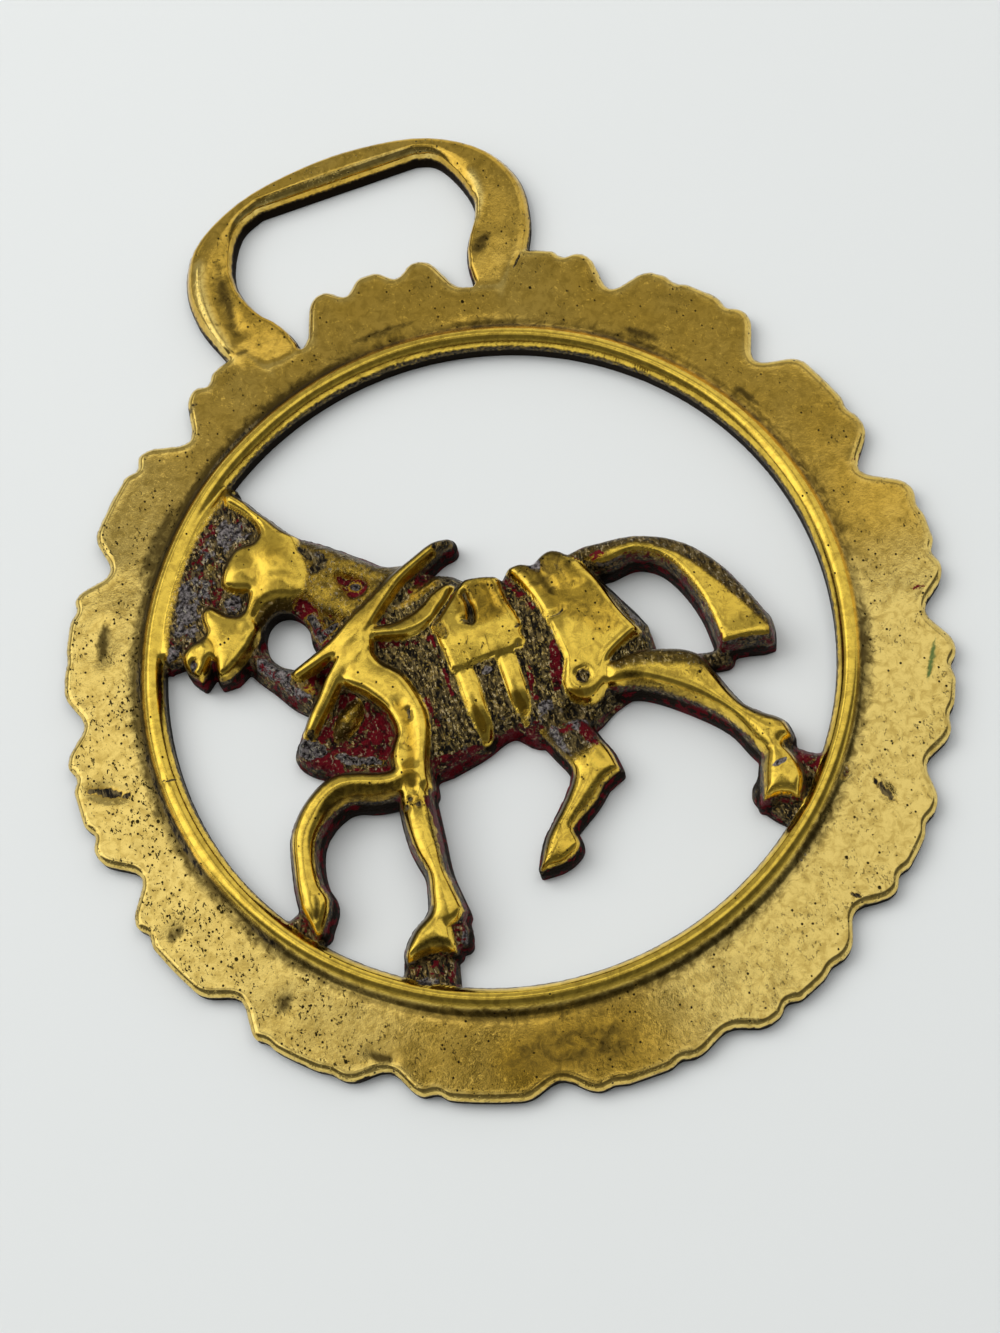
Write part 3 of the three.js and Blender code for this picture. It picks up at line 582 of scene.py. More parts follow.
def forelegs(relief):
    hoof_web = limb((-22.6, -17.2, 0.8), (-23.8, -17.7, 0.9), (-25.4, -18.6, 1.1))
    relief.rise(hoof_web, 1.9, spread=0.4, **DIRTY_PAINT)
    block = Plan([(-16, -23.6, SHARP), (-11.9, -23.4, SHARP), (-13, -28, SHARP), (-17, -26, SHARP)])
    relief.rise(block, 1.9, spread=0.4, **DIRTY_PAINT)
    relief.tint(oval((-15, -26.2), (1.3, 0.6), -25), 0.3, grey=0.9, red=0.2, cast=1)
    heel = limb((-11.4, -21.6, 0.9), (-11, -23, 0.8), (-11, -24, 0.5))
    relief.rise(heel, 2.7, spread=0.3, **DIRTY_PAINT)
    raised = limb(
        (-10.8, -8.6, 1.3, 4.3), (-12.4, -8.8, 1.2, 4.2), (-14, -8.5, 1.3, 4.1), (-15.6, -7.9, 1.3, 4.1),
        (-17.2, -7.7, 1.4, 4.1), (-19.4, -8.7, 1.3, 4), (-21.1, -10.5, 1.15, 3.9), (-21.9, -12.9, 1, 3.8),
        (-22.2, -15.2, 1.1, 3.7), (-22.1, -16.8, 1.3, 3.6), (-22.5, -18.9, 0.5, 3.3),
    )
    relief.rise(raised, 0, crown=0.3, rounding=0.6, dirty=0.22, **POLISHED)
    lower_edge = [(-9.8, -8.6), (-12.2, -9), (-14.2, -8.4), (-15.6, -7.9), (-17, -7.8), (-18.6, -8.5),
        (-20, -10)]
    relief.chamfer(lower_edge, 0.6, 1.3, gilt=0.5, film=0.55)
    relief.stroke([(-21.8, -16), (-22, -17.2), (-22.5, -18.4)], 0.25, -0.15, film=0.7)
    standing = limb(
        (-10.6, -8.6, 1.2, 4.4), (-11, -11, 1.3, 4), (-11.2, -13, 1.3, 4.1), (-11.3, -15, 1.2, 4.1),
        (-11.2, -17.6, 0.85, 4.1), (-11.3, -19.4, 1.1, 4.1), (-11.4, -21.2, 1.4, 4),
    )
    relief.rise(standing, 0, crown=0.3, rounding=0.6, dirty=0.22, **POLISHED)
    hoof = Plan([(-12.4, -19.6, SHARP), (-13, -20.8), (-14.6, -21.8), (-15.9, -23.4), (-16, -24.3, SHARP),
        (-13.6, -24.2), (-11.8, -24.8, SHARP), (-11.5, -22.3, SHARP), (-10, -21.7, SHARP),
        (-10.3, -19.6, SHARP)])
    relief.rise(hoof, 3.9, crown=0.35, rounding=0.6, **POLISHED)
    relief.chamfer([(-10.8, -18.6), (-10.6, -16), (-10.6, -13), (-10.2, -11)][::-1], 0.3, 1.2, film=0.5,
        pits=0.9)
    relief.chamfer([(-11.6, -24), (-12.8, -23.3), (-14, -23.3), (-15.6, -24)], 0.4, 0.8, film=0.6)
    relief.tint(limb((-10, -11, 0.3), (-10, -14, 0.25), (-10.2, -16, 0.2)), 0.1, red=1, grime=0.3)
    relief.tint(oval((-11.3, -11.2), (1.4, 1)), pits=1, grime=0.35, gilt=0.5)
    for x, y in ((-11.4, -10.9), (-11.9, -11.5), (-10.8, -11.6)):
        relief.sink(oval((x, y), (0.3, 0.35), 20), 3.8, 0.2, grime=1, gilt=0)


def shoulder(relief):
    side = Plan([(-13.4, 4.4, SHARP), (-14, 1.8), (-13.3, 0.7, SHARP), (-12.4, -0.1), (-11.8, -0.9),
        (-11.1, -2), (-10.8, -2.9), (-10.75, -4.6), (-11.3, -5.5), (-11.8, -6.4), (-12, -7.7, SHARP),
        (-12, -10.2, SHARP), (-9.3, -10.4, SHARP), (-8.9, -8.4), (-8.2, -6.6), (-7.6, -4.8), (-7.5, -3.2),
        (-7.9, -1), (-8.5, 0.5), (-9.3, 1.5), (-10, 2.4), (-10.3, 3.8), (-9.8, 5.4, SHARP)])
    relief.rise(side, 4.45, crown=0.15, rounding=0.6, **POLISHED)
    outer = [(-9.6, 2.2), (-8.7, 0.4), (-8.3, -1.6), (-8, -3.6), (-8.3, -5.4), (-9, -7.4), (-9.5, -9.6)]
    relief.stroke(outer, 0.6, 0.1, **POLISHED)
    relief.stroke([(-9.9, -1.6), (-9.6, -3), (-9.5, -5), (-9.9, -6.8), (-10.3, -8.4)], 0.6, -0.2, gilt=0.35)
    relief.stroke([(-12.6, 3.8), (-13.1, 2.6), (-13.4, 1.6)], 0.35, -0.22, gilt=0.6)
    for x, y, r in ((-9.05, -3.2, 0.28), (-9.15, -3.8, 0.3), (-9.1, -3.5, 0.25), (-10.3, -5.9, 0.22),
            (-10, -6.3, 0.2), (-9.9, -5.6, 0.16), (-10.9, 4.1, 0.14), (-9.8, 5.5, 0.25), (-9.6, 5.2, 0.18)):
        relief.sink(oval((x, y), (r, 0.8 * r), 60), 3.9, 0.15, grime=1, gilt=0)
    relief.chamfer([(-12.2, -9.4), (-11, -8.4), (-9.6, -9.2)][::-1], 0.3, 2.2, gilt=0.5)
    relief.tint(Plan([(-11.1, -7.6), (-10.1, -7.6), (-10.2, -8.8), (-11.2, -9)]), 0.2, gilt=0.1)


def hind_legs(relief):
    hoof_web = limb((20.6, -18, 1.2), (22.6, -19.4, 1.1), (24.4, -20.4, 1.3))
    relief.rise(hoof_web, 1.9, spread=0.4, **DIRTY_PAINT)
    relief.tint(oval((23, -18.4), (1, 0.7), -30), 0.2, red=1, grime=0)
    toe_web = limb((18.4, -20.2, 1.2), (19.4, -21.8, 1.2), (21.2, -23.6, 1))
    relief.rise(toe_web, 1.9, spread=0.4, red=0.3, grime=0.9, cast=0.8, grey=0.4)
    off = Plan([
        (1, -8.2, SHARP), (2.1, -10.8), (2.8, -12.8), (1.4, -14.9), (-1.4, -17.8), (-2.8, -20.4, SHARP),
        (-0.4, -20.4), (1.3, -19.4), (1.2, -17.8, SHARP), (4, -16), (5.2, -14.9, SHARP), (6.9, -14.2, SHARP),
        (6.7, -12.4), (5.8, -9.8), (5.6, -8.2, SHARP),
    ])
    relief.rise(off, 2.9, crown=0.35, spread=0.3, rounding=0.6, dirty=0.22, **RUBBED)
    thigh = Plan([(1, -7), (2.2, -12), (3.6, -12.6), (6.4, -11.6), (6.2, -7)])
    relief.tint(thigh, 1.4, cast=0.9, grime=0.7, film=0.8, gilt=0.3, grey=0.25)
    relief.tint(oval((5.2, -10.2), (0.8, 1.6), 20), 0.3, red=1, grime=0.3)
    relief.tint(oval((3.4, -9), (1.6, 0.8), -20), 0.4, red=0.7, grey=0.4, grime=0.6)
    relief.chamfer([(6.6, -13.6), (4.6, -14.3), (2.8, -15.6), (1, -17.2)], 0.4, 0.9, film=0.35, pits=1)
    relief.stroke([(1, -18.2), (-0.6, -19.6), (-2.6, -21)], 0.5, -0.14, gilt=0.6)
    near = Plan([(8.4, -4.8, SHARP), (12, -4.7), (14.6, -5.4), (16.6, -6.6), (17.3, -8.4), (18.6, -12),
        (20, -13.6), (21.6, -15), (21.8, -16.7, SHARP), (20.8, -17, SHARP), (21.3, -18.4), (21.4, -20.4),
        (20.4, -22.2, SHARP), (19, -21.4), (17.4, -21.3, SHARP), (18.2, -18.9), (19, -17.2, SHARP),
        (18.5, -16.2), (17.4, -13.6), (14, -10), (11, -7.8), (8, -7, SHARP)])
    relief.rise(near, 4, crown=0.5, rounding=0.7, dirty=0.22, **RUBBED)
    ridge = [(9.4, -6.2), (10.9, -6.8), (12.9, -8.1), (14.9, -9.6), (16.4, -11.3), (17.7, -13.3),
        (18.7, -15.6)]
    relief.chamfer(ridge[::-1], 0.4, 1.3, gilt=0.5, film=0.55, pits=0.4)
    relief.stroke(ridge[1:], 0.45, 0.1, gilt=1, pits=0.1, grime=0, film=0)
    relief.tint(oval((19.8, -18.6), (1.7, 3.4), 10), 0.8, gilt=1, grime=0, pits=0.3)
    relief.tint(oval((19.8, -18.8), (0.8, 0.35), 10), 0.3, grey=0.8, grime=0.4)
    dirty = Plan([(8.6, -5), (11.4, -4.5), (14.6, -5.2), (17.2, -6.6), (18.4, -10.6), (16.8, -9),
        (14, -7.6), (11.2, -6.6), (9, -6.2)])
    relief.tint(dirty, 0.9, grime=0.45, film=0.75, cast=0.5, gilt=0.5, pits=1)


def tail(relief):
    dock = limb((16.4, -6.8, 0.6), (17.6, -7, 0.5), (19, -7.2, 0.6))
    relief.rise(dock, 1.9, spread=0.4, grime=0.8, cast=0.5, grey=0.3)
    switch = Plan([(9, 5.9), (11.5, 6.3), (14, 6.1), (16.7, 5.3), (19.2, 3.7), (21.2, 1.3), (22.5, -1.3),
        (23.4, -3.8), (23.7, -6.2), (23.3, -7.7, SHARP), (21, -7.1), (18.9, -6.9, SHARP), (18.8, -2.8),
        (17.9, 0.6), (16.6, 2.8), (14.6, 4), (11.4, 3.9)])
    relief.rise(switch, 4.1, rounding=0.5, dirty=0.4, **RUBBED)
    crest = [(10.8, 4.7), (12.7, 4.9), (14.6, 4.6), (16.4, 3.6), (17.7, 2.3), (18.6, 0.2), (19.3, -2.6),
        (19.6, -6.6)]
    relief.chamfer(crest, 0.3, 5)
    relief.stroke(crest, 0.5, 0.14, gilt=1, pits=0.2, grime=0)
    outer = Plan([(9, 7.2), (14, 7.2), (19.4, 5.2), (23.4, 0.8), (25, -4), (25, -7.4), (23, -6.6), (22, -4),
                  (20.9, -2), (19.7, 0), (18.6, 1.6), (17.4, 2.9), (16, 4), (14.4, 4.7), (9, 5)])
    relief.tint(outer, 0.5, grime=0.56, film=1, gilt=0.1, cast=0.45)
    relief.tint(oval((11.3, 4.9), (0.9, 0.6)), 0.3, red=1, gilt=0)


# ---- the harness ----
def hames(relief):
    lower = limb((-11.6, 4.2, 1.6, 4.7), (-13.8, 2.8, 1.05, 4.5), (-15.4, 1, 0.85, 4.2),
        (-16.8, -0.4, 0.8, 3.9), (-18, -1.7, 0.65, 3.5))
    relief.rise(lower, 0, spread=0.35, rounding=0.55, **POLISHED)
    bar = limb(
        (-0.9, 11.2, 0.5, 3.5), (-2, 11.1, 0.6, 3.9), (-4.2, 10.1, 0.65, 4.4), (-6.4, 9, 0.75, 4.6),
        (-8.6, 7.5, 0.95, 4.7), (-11, 5.9, 1.25, 4.8), (-13.2, 4.9, 1.0, 4.6), (-15, 4.4, 0.85, 4.3),
        (-17.3, 3.9, 0.65, 3.8),
    )
    relief.rise(bar, 0, spread=0.35, rounding=0.55, gilt=0.7, pits=0.5)
    tug = Plan([(-11.4, 6, SHARP), (-9, 5.5), (-7, 5.4), (-5.2, 5.9), (-3.7, 6.8), (-2.2, 7.2), (-1.6, 6.9),
        (-1.9, 6.2), (-2.7, 5.4), (-3.5, 4.8), (-4.3, 4.1), (-5.4, 3.6), (-7, 3.4), (-8.4, 3.8),
        (-10.2, 4.3, SHARP), (-11.6, 4.2, SHARP)])
    relief.rise(tug, 4.5, spread=0.3, rounding=0.5, gilt=0.75, pits=0.3)
    relief.stroke([(-10, 4.6), (-8.6, 4.3), (-7, 4.1), (-5.2, 4.2), (-4.2, 4.7)], 0.45, 0.15, **POLISHED)
    relief.stroke([(-9.4, 5.2), (-7, 4.9), (-5, 5.3), (-3.2, 6.1), (-2.4, 6.6)], 0.5, -0.12, gilt=0.6)
    relief.tint(oval((-1.4, 11.1), (1.3, 0.9), 20), 0.5, grime=0.8, gilt=0.2, cast=0.6)
    relief.tint(oval((-17.9, -1.9), (0.7, 0.6), 40), 0.4, grime=0.8, gilt=0.3)
    between = Plan([(-13.2, 4, SHARP), (-14.6, 4), (-17, 3.2), (-17.6, 2.4), (-16.4, 1.4), (-15, 2.4)])
    relief.sink(between, 2.5, 0.5, red=0.9, grime=0.4, cast=0.4)


def saddle(relief):
    for x, bottom in ((-3.25, -7.6), (0.65, -7.3)):
        girth = limb((x, -0.3, 0.95, 4.2), (x, -2.4, 0.98, 4.2), (x, -4.4, 0.95, 4.1), (x, bottom + 1.2,
            0.85, 3.4), (x - 0.1, bottom, 0.5, 2.8))
        relief.rise(girth, 0, spread=0.25, rounding=0.4, **POLISHED)
        hollow = limb((x - 0.2, -4.8, 0.35), (x - 0.1, bottom + 1.4, 0.5), (x - 0.1, bottom + 0.8, 0.4))
        relief.tint(hollow, 0.2, gilt=0, grime=0.15)
    flap = Plan([(-4.75, 3.6, SHARP), (-4.45, 1.2), (-4.4, -0.3), (-4.3, -1.1, SHARP), (-2, -1.1), (0, -1),
        (2.3, -1.1, SHARP), (2.7, -0.5), (2.6, 0.5), (2.9, 0.9), (2.8, 2), (2.4, 3.6), (2.3, 5),
        (2.4, 6.2, SHARP), (1, 6.7), (-0.6, 7, SHARP), (-1.8, 6, SHARP), (-2.8, 5.1), (-3.6, 4.4)])
    relief.rise(flap, 4.3, spread=0.25, rounding=0.2, gilt=1, pits=0.25)
    relief.tint(Plan([(-2.6, 5), (-1.4, 6.4), (2.2, 6.2), (2.6, 2.2), (0.6, 1.6), (-1.6, 2)]), 0.8,
        gilt=0.4, pits=0.6, film=0.3)
    relief.tint(Plan([(-4.6, 2.2), (-1.4, 1.6), (-0.4, 0.6), (-0.6, -1), (-4.4, -1.1)]), 0.4, gilt=1,
        pits=0.8)
    relief.bow(flap, [(-5, 1.9), (3, 1.6)], 3.4, 0.35)
    relief.stroke([(-0.5, 0.9), (-0.55, -0.9)], 0.2, -0.1)
    relief.stroke([(0.9, 6.4), (1.1, 4.6), (1, 2.8)], 0.4, -0.15, gilt=0.25)
    relief.stroke([(1.9, 6), (2, 4.2), (2.3, 2.4)], 0.3, 0.1)
    slot = Plan([(-1.5, 5.7, SHARP), (-0.7, 5.9, SHARP), (-0.75, 5), (-0.6, 4), (-0.8, 3),
        (-1.1, 2.3, SHARP), (-1.5, 2.9), (-1.25, 4), (-1.2, 4.9)])
    relief.sink(slot, 3.3, 0.25, grime=0.8, grey=0.6, red=0.2)
    relief.stroke([(-2.2, 3.3), (-1.7, 3), (-1.2, 2.7)], 0.17, -0.5, grime=0.8)
    relief.tint(oval((-4, 3), (0.7, 1.1), 15), 0.3, pits=1, grime=0.5, cast=1, gilt=0.6)
    relief.stroke([(2.1, 0.7), (2.5, 0.9), (2.9, 1.1)], 0.13, -0.3, grime=1)
    for x, y in ((2.4, -0.5), (1.45, -4.6), (2, -0.7)):
        relief.sink(oval((x, y), (0.17, 0.17)), 3.7, 0.1, grime=1, gilt=0)


def quarter_cloth(relief):
    cloth = Plan([(3.1, 6.6, SHARP), (3.7, 5.4), (4.3, 3.9), (4.7, 2.2), (4.9, 0.8), (5.1, -0.6), (5.2, -2),
        (5.3, -3.3), (4.9, -4.3), (4.5, -5.2), (4.5, -6.2), (4.9, -7), (5.8, -7.6), (6.8, -7.7),
        (7.7, -7.2), (8.4, -6.6), (8.7, -5.8), (9, -5), (9.9, -4.3), (11.4, -3.6), (12.8, -3, SHARP),
        (12.2, -1.8), (11.7, -0.6), (11.3, 0.8), (10.9, 2.4), (10.4, 3.8), (9.8, 5), (9, 6), (8.2, 6.8),
        (7.4, 7.1), (6.4, 6.8), (5.6, 6.4), (4.7, 6.8), (3.6, 6.8, SHARP)])
    relief.rise(cloth, 4.15, crown=0.05, spread=0.25, rounding=0.45, gilt=0.95, pits=0.25)
    upper = Plan([(4, 6.4), (5.2, 2), (5.6, 0.6), (7, -0.6), (9, -3), (11.8, -2.6), (10.8, 2), (9, 5.8),
        (7, 6.8)])
    relief.tint(upper, 1, gilt=0.5, pits=0.5, film=0.25)
    relief.tint(Plan([(3.6, 7), (9.4, 6.6), (9.6, 4.8), (7.4, 3.8), (4.6, 4)]), 0.9, film=0.55, pits=0.8)
    relief.bow(cloth, [(4, -1), (12, 0.4)], 4, 0.4)
    relief.stroke([(8.2, 7), (8.6, 5), (8.8, 2.6)], 0.9, 0.2)
    relief.stroke([(5.7, 6.8), (6, 4.8), (6.6, 2.4)], 0.6, -0.25, film=0.6)
    relief.stroke([(5.4, 0.2), (5.7, -1.6), (5.8, -3.4), (5.2, -4.6)], 0.4, 0.15, **POLISHED)
    relief.stroke([(8.4, -5.4), (9.4, -4.2), (10.8, -3.5), (12.2, -2.9)], 0.4, 0.2, **POLISHED)
    relief.stroke([(5.1, 0.9), (5.7, 0.7), (6.4, 0.7), (7.1, 1.2)], 0.13, -0.35, grime=0.9)
    relief.tint(oval((5.8, 6), (0.7, 1.2), 10), 0.4, grime=0.6, grey=0.5, red=0.2, gilt=0.1)
    relief.tint(oval((7.7, 4.6), (0.5, 1.3), 20), 0.4, grime=0.5, pits=1)
    relief.tint(oval((6.4, -5.6), (2.4, 2.2)), 0.5, gilt=1, pits=0.2)
    relief.chamfer([(4.5, -6), (5.6, -6.5), (7, -6.6), (8.4, -6)][::-1], 0.5, 1.6)
    relief.tint(oval((5.4, -6.8), (0.8, 0.6), -35), 0.2, gilt=0.1, grime=0.15)
    relief.sink(oval((6.45, -5.4), (0.75, 0.72)), 3.8, 0.2, grime=0.8, grey=0.6, cast=1)
    relief.rise(oval((6.45, -5.45), (0.3, 0.3)), 4.05, spread=0.2, rounding=0.2, grime=0.5, cast=1, grey=0.4)


def throat_hole(relief):
    """The round hole between the jaw, the throat and the neck."""
    hole = oval((-17.35, 7.85), (2.1, 2.6))
    places = relief.near(hole.low, hole.high, 0.6)
    beyond = -hole.depth(relief.at[places])
    relief.z[places] *= 0.75 + 0.25 * soft_step(beyond, 0, 0.5)
    relief.edge[places] = np.minimum(relief.edge[places], beyond)


def sculpt(at):
    """The whole casting at these places."""
    relief = Relief(at)
    ring(relief)
    marks(relief)
    hanger(relief)
    for form in (trunk, head, neck, breast, throat_hole, hind_legs, tail, forelegs, shoulder, hames, saddle,
            quarter_cloth):
        form(relief)
    return relief


# ---- the mesh ----
def places_of(bm):
    return np.array([v.co[:2] for v in bm.verts])


def near_grid(low, high):
    """A level grid over the casting, finer where there is relief, without the faces that lie far outside."""
    size = high - low
    counts = np.ceil(size / COARSE).astype(int)
    bm = bmesh.new()
    bmesh.ops.create_grid(bm, x_segments=int(counts[0]), y_segments=int(counts[1]), size=0.5)
    bmesh.ops.scale(bm, vec=(*(counts * COARSE), 1), verts=bm.verts)
    bmesh.ops.translate(bm, vec=(*((low + high) / 2), 0), verts=bm.verts)
    bm.verts.index_update()
    at = places_of(bm)
    edge = sculpt(at).edge
    bmesh.ops.delete(bm, geom=[v for v, e in zip(bm.verts[:], edge) if e < -2 * COARSE], context="VERTS")
    bm.verts.index_update()
    at = places_of(bm)
    edge = sculpt(at).edge
    plain = (np.hypot(*at.T) > PLAIN_BAND[0]) & (at[:, 1] < PLAIN_BAND[1]) & (edge > 2.5 * COARSE)
    busy = [f for f in bm.faces if not all(plain[v.index] for v in f.verts)]
    edges = list({e for f in busy for e in f.edges})
    bmesh.ops.subdivide_edges(bm, edges=edges, cuts=1, use_grid_fill=True)
    return bm


def cut_to_outline(bm):
    """Splits the faces along the casting's outline and deletes what lies outside."""
    bm.verts.index_update()
    edge = sculpt(places_of(bm)).edge
    crossing = [e for e in bm.edges if (edge[e.verts[0].index] < 0) != (edge[e.verts[1].index] < 0)]
    outside = [v for v, depth in zip(bm.verts[:], edge) if depth < 0]
    on_outline = []
    for e in crossing:
        a, b = e.verts
        here, there = edge[a.index], edge[b.index]
        on_outline.append(bmesh.utils.edge_split(e, a, here / (here - there))[1])
    bmesh.ops.connect_verts(bm, verts=on_outline)
    bmesh.ops.delete(bm, geom=outside, context="VERTS")
    bmesh.ops.remove_doubles(bm, verts=bm.verts, dist=COARSE * 0.12)
    rim_verts = [v for v in bm.verts if v.is_boundary]
    for _ in range(2):
        smooth_outline_verts(rim_verts)


def smooth_outline_verts(verts):
    """Evens the outline: each vertex moves a little towards the middle of its two neighbours on it."""
    moves = []
    for v in verts:
        beside = [e.other_vert(v).co for e in v.link_edges if e.is_boundary]
        if len(beside) == 2:
            moves.append((v, v.co.lerp((beside[0] + beside[1]) / 2, 0.35)))
    for v, co in moves:
        v.co = co


def spread_out(bm, z, steps):
    """Heights evened out over the mesh: each step takes the average of the neighbours."""
    pairs = np.array([(e.verts[0].index, e.verts[1].index) for e in bm.edges])
    a, b = pairs.T
    degree = np.bincount(a, minlength=len(z)) + np.bincount(b, minlength=len(z))
    level = z.copy()
    for _ in range(steps):
        total = np.bincount(a, level[b], len(z)) + np.bincount(b, level[a], len(z))
        level = 0.3 * level + 0.7 * total / np.maximum(degree, 1)
    return level


def close_below(bm, layers):
    """Drops walls from the outline to the flat back and fills the back."""
    for share in (0.5, 0.0):
        open_edges = [e for e in bm.edges if e.is_boundary]
        new = bmesh.ops.extrude_edge_only(bm, edges=open_edges)["geom"]
        for v in (g for g in new if isinstance(g, bmesh.types.BMVert)):
            v.co.z *= share
            v[layers["wall"]] = 1.0
    bottom = [e for e in bm.edges if e.is_boundary]
    for face in bmesh.ops.triangle_fill(bm, edges=bottom, use_beauty=True)["geom"]:
        if isinstance(face, bmesh.types.BMFace):
            for e in face.edges:
                e.smooth = all(abs(f.calc_center_median().z) < 1e-5 for f in e.link_faces)


LOWEST = 0.5  # no top is lower than this
INSIDE = 0.01  # how far the mesh is kept inside the CAD box
EVENING = 3  # steps that take the grid's own roughness away
HOLLOW_REACH = 40  # steps over which a place is compared with what is around it
LUMPS = ((0.2, 1.1, 10), (0.13, 0.5, 11), (0.06, 0.25, 12))  # height, size and seed of the as-cast roughness
HANGER_FOOT = 36  # the hanger lies above this Y
DARK_TO = {"rim": 1.0, "hanger": 1.9, "horse": 3.0}  # how high the walls are dark


def build_casting():
    """The closed mesh, with every finish as a layer on its vertices."""
    low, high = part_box("horse_brass")
    bm = near_grid(np.array(low[:2]) / MM - 1, np.array(high[:2]) / MM + 1)
    cut_to_outline(bm)
    bm.verts.index_update()
    relief = sculpt(places_of(bm))
    lumps = sum(height * ripple(relief.at, size, seed) for height, size, seed in LUMPS)
    rough = relief.finish["cast"] * lumps
    radius = np.hypot(*relief.at.T)
    satin = soft_step(radius, 32.4, 31.9)  # the bead
    horse = soft_step(radius, 30.6, 29.9)
    waves = 0.003 * ripple(relief.at, 1.1, 13)
    z = np.clip(spread_out(bm, relief.z, EVENING) + rough + waves, LOWEST, high.z / MM - 2 * INSIDE)
    hollow = spread_out(bm, z, HOLLOW_REACH) - z
    layers = {name: bm.verts.layers.float.new(name) for name in LAYERS}
    values = {**relief.finish, "hollow": hollow, "satin": satin}
    for v in bm.verts:
        v.co.z = z[v.index]
        for name, value in values.items():
            v[layers[name]] = value[v.index]
    for f in bm.faces:
        f.smooth = True
    bm.normal_update()
    for v in bm.verts:
        steep = held((0.6 - v.normal.z) / 0.3)
        on_ring = abs(math.hypot(v.co.x, v.co.y) - RIM_INNER) < 0.3
        top = DARK_TO["rim"] if on_ring else DARK_TO["hanger" if v.co.y > HANGER_FOOT else "horse"]
        v[layers["wall"]] = steep * held((top - v.co.z) / 1.2)
        # Painted shade: slopes of the horse that face +Y get the dark film, for the dark part of the room
        # they mirror.
        away = held((v.normal.y - 0.2) / 0.3) * horse[v.index]  # slopes that face the hanger
        v[layers["film"]] = max(v[layers["film"]], 0.9 * away)
    close_below(bm, layers)
    bmesh.ops.recalc_face_normals(bm, faces=bm.faces)
    for v in bm.verts:
        for axis in (0, 1):
            v.co[axis] = min(max(v.co[axis], low[axis] / MM + INSIDE), high[axis] / MM - INSIDE)
    bmesh.ops.scale(bm, vec=(MM, MM, MM), verts=bm.verts)
    mesh = bpy.data.meshes.new("horse_brass_casting")
    bm.to_mesh(mesh)
    bm.free()
    piece = bpy.data.objects.new("horse_brass_casting", mesh)
    bpy.context.scene.collection.objects.link(piece)
    return piece


# ---- materials ----
def linear(code):
    """An sRGB hex colour as linear values."""
    parts = [int(code[i : i + 2], 16) / 255 for i in (1, 3, 5)]
    return (*(c / 12.92 if c <= 0.04045 else ((c + 0.055) / 1.055) ** 2.4 for c in parts), 1.0)


def add(tree, kind, inputs=None, out=0, **settings):
    """Adds a node with its settings and its links, and gives one of its outputs to link on from."""
    node = tree.nodes.new(kind)
    for name, value in settings.items():
        setattr(node, name, value)
    for name, value in (inputs or {}).items():
        if isinstance(value, bpy.types.NodeSocket):
            tree.links.new(value, node.inputs[name])
        else:
            node.inputs[name].default_value = value
    return node.outputs[out] if node.outputs else None


# size in mm, detail, roughness and distortion of each pattern on the metal, and its squeeze along Y
PATTERNS = {
    "blotch": (2.6, 5.0, 0.6, 0.4, 1.0),
    "mottle": (0.9, 4.0, 0.65, 0.6, 1.0),
    "speck": (0.35, 4.0, 0.65, 0.0, 1.0),
    "grain": (0.12, 2.0, 0.55, 0.0, 1.0),
    "cloud": (9.0, 3.0, 0.55, 0.0, 1.0),
    "streaks": (0.36, 4.0, 0.65, 0.9, 0.28),
    "ragged": (0.24, 2.0, 0.6, 0.5, 0.6),
}


def pin_holes(tree, place, spacing_mm, radius, share):
    """Small round holes left by the casting, in this share of the cells."""
    cells = {"Vector": place, "Scale": 1 / (spacing_mm * MM)}
    away = add(tree, "ShaderNodeTexVoronoi", cells, "Distance")
    number = add(tree, "ShaderNodeSeparateColor", {0: away.node.outputs["Color"]})
    present = add(tree, "ShaderNodeMath", {0: number, 1: share}, operation="LESS_THAN")
    hole = add(tree, "ShaderNodeMapRange", {
        "Value": away, "From Min": radius, "From Max": radius * 0.55,
    }, interpolation_type="SMOOTHSTEP")
    return add(tree, "ShaderNodeMath", {0: hole, 1: present}, operation="MULTIPLY")


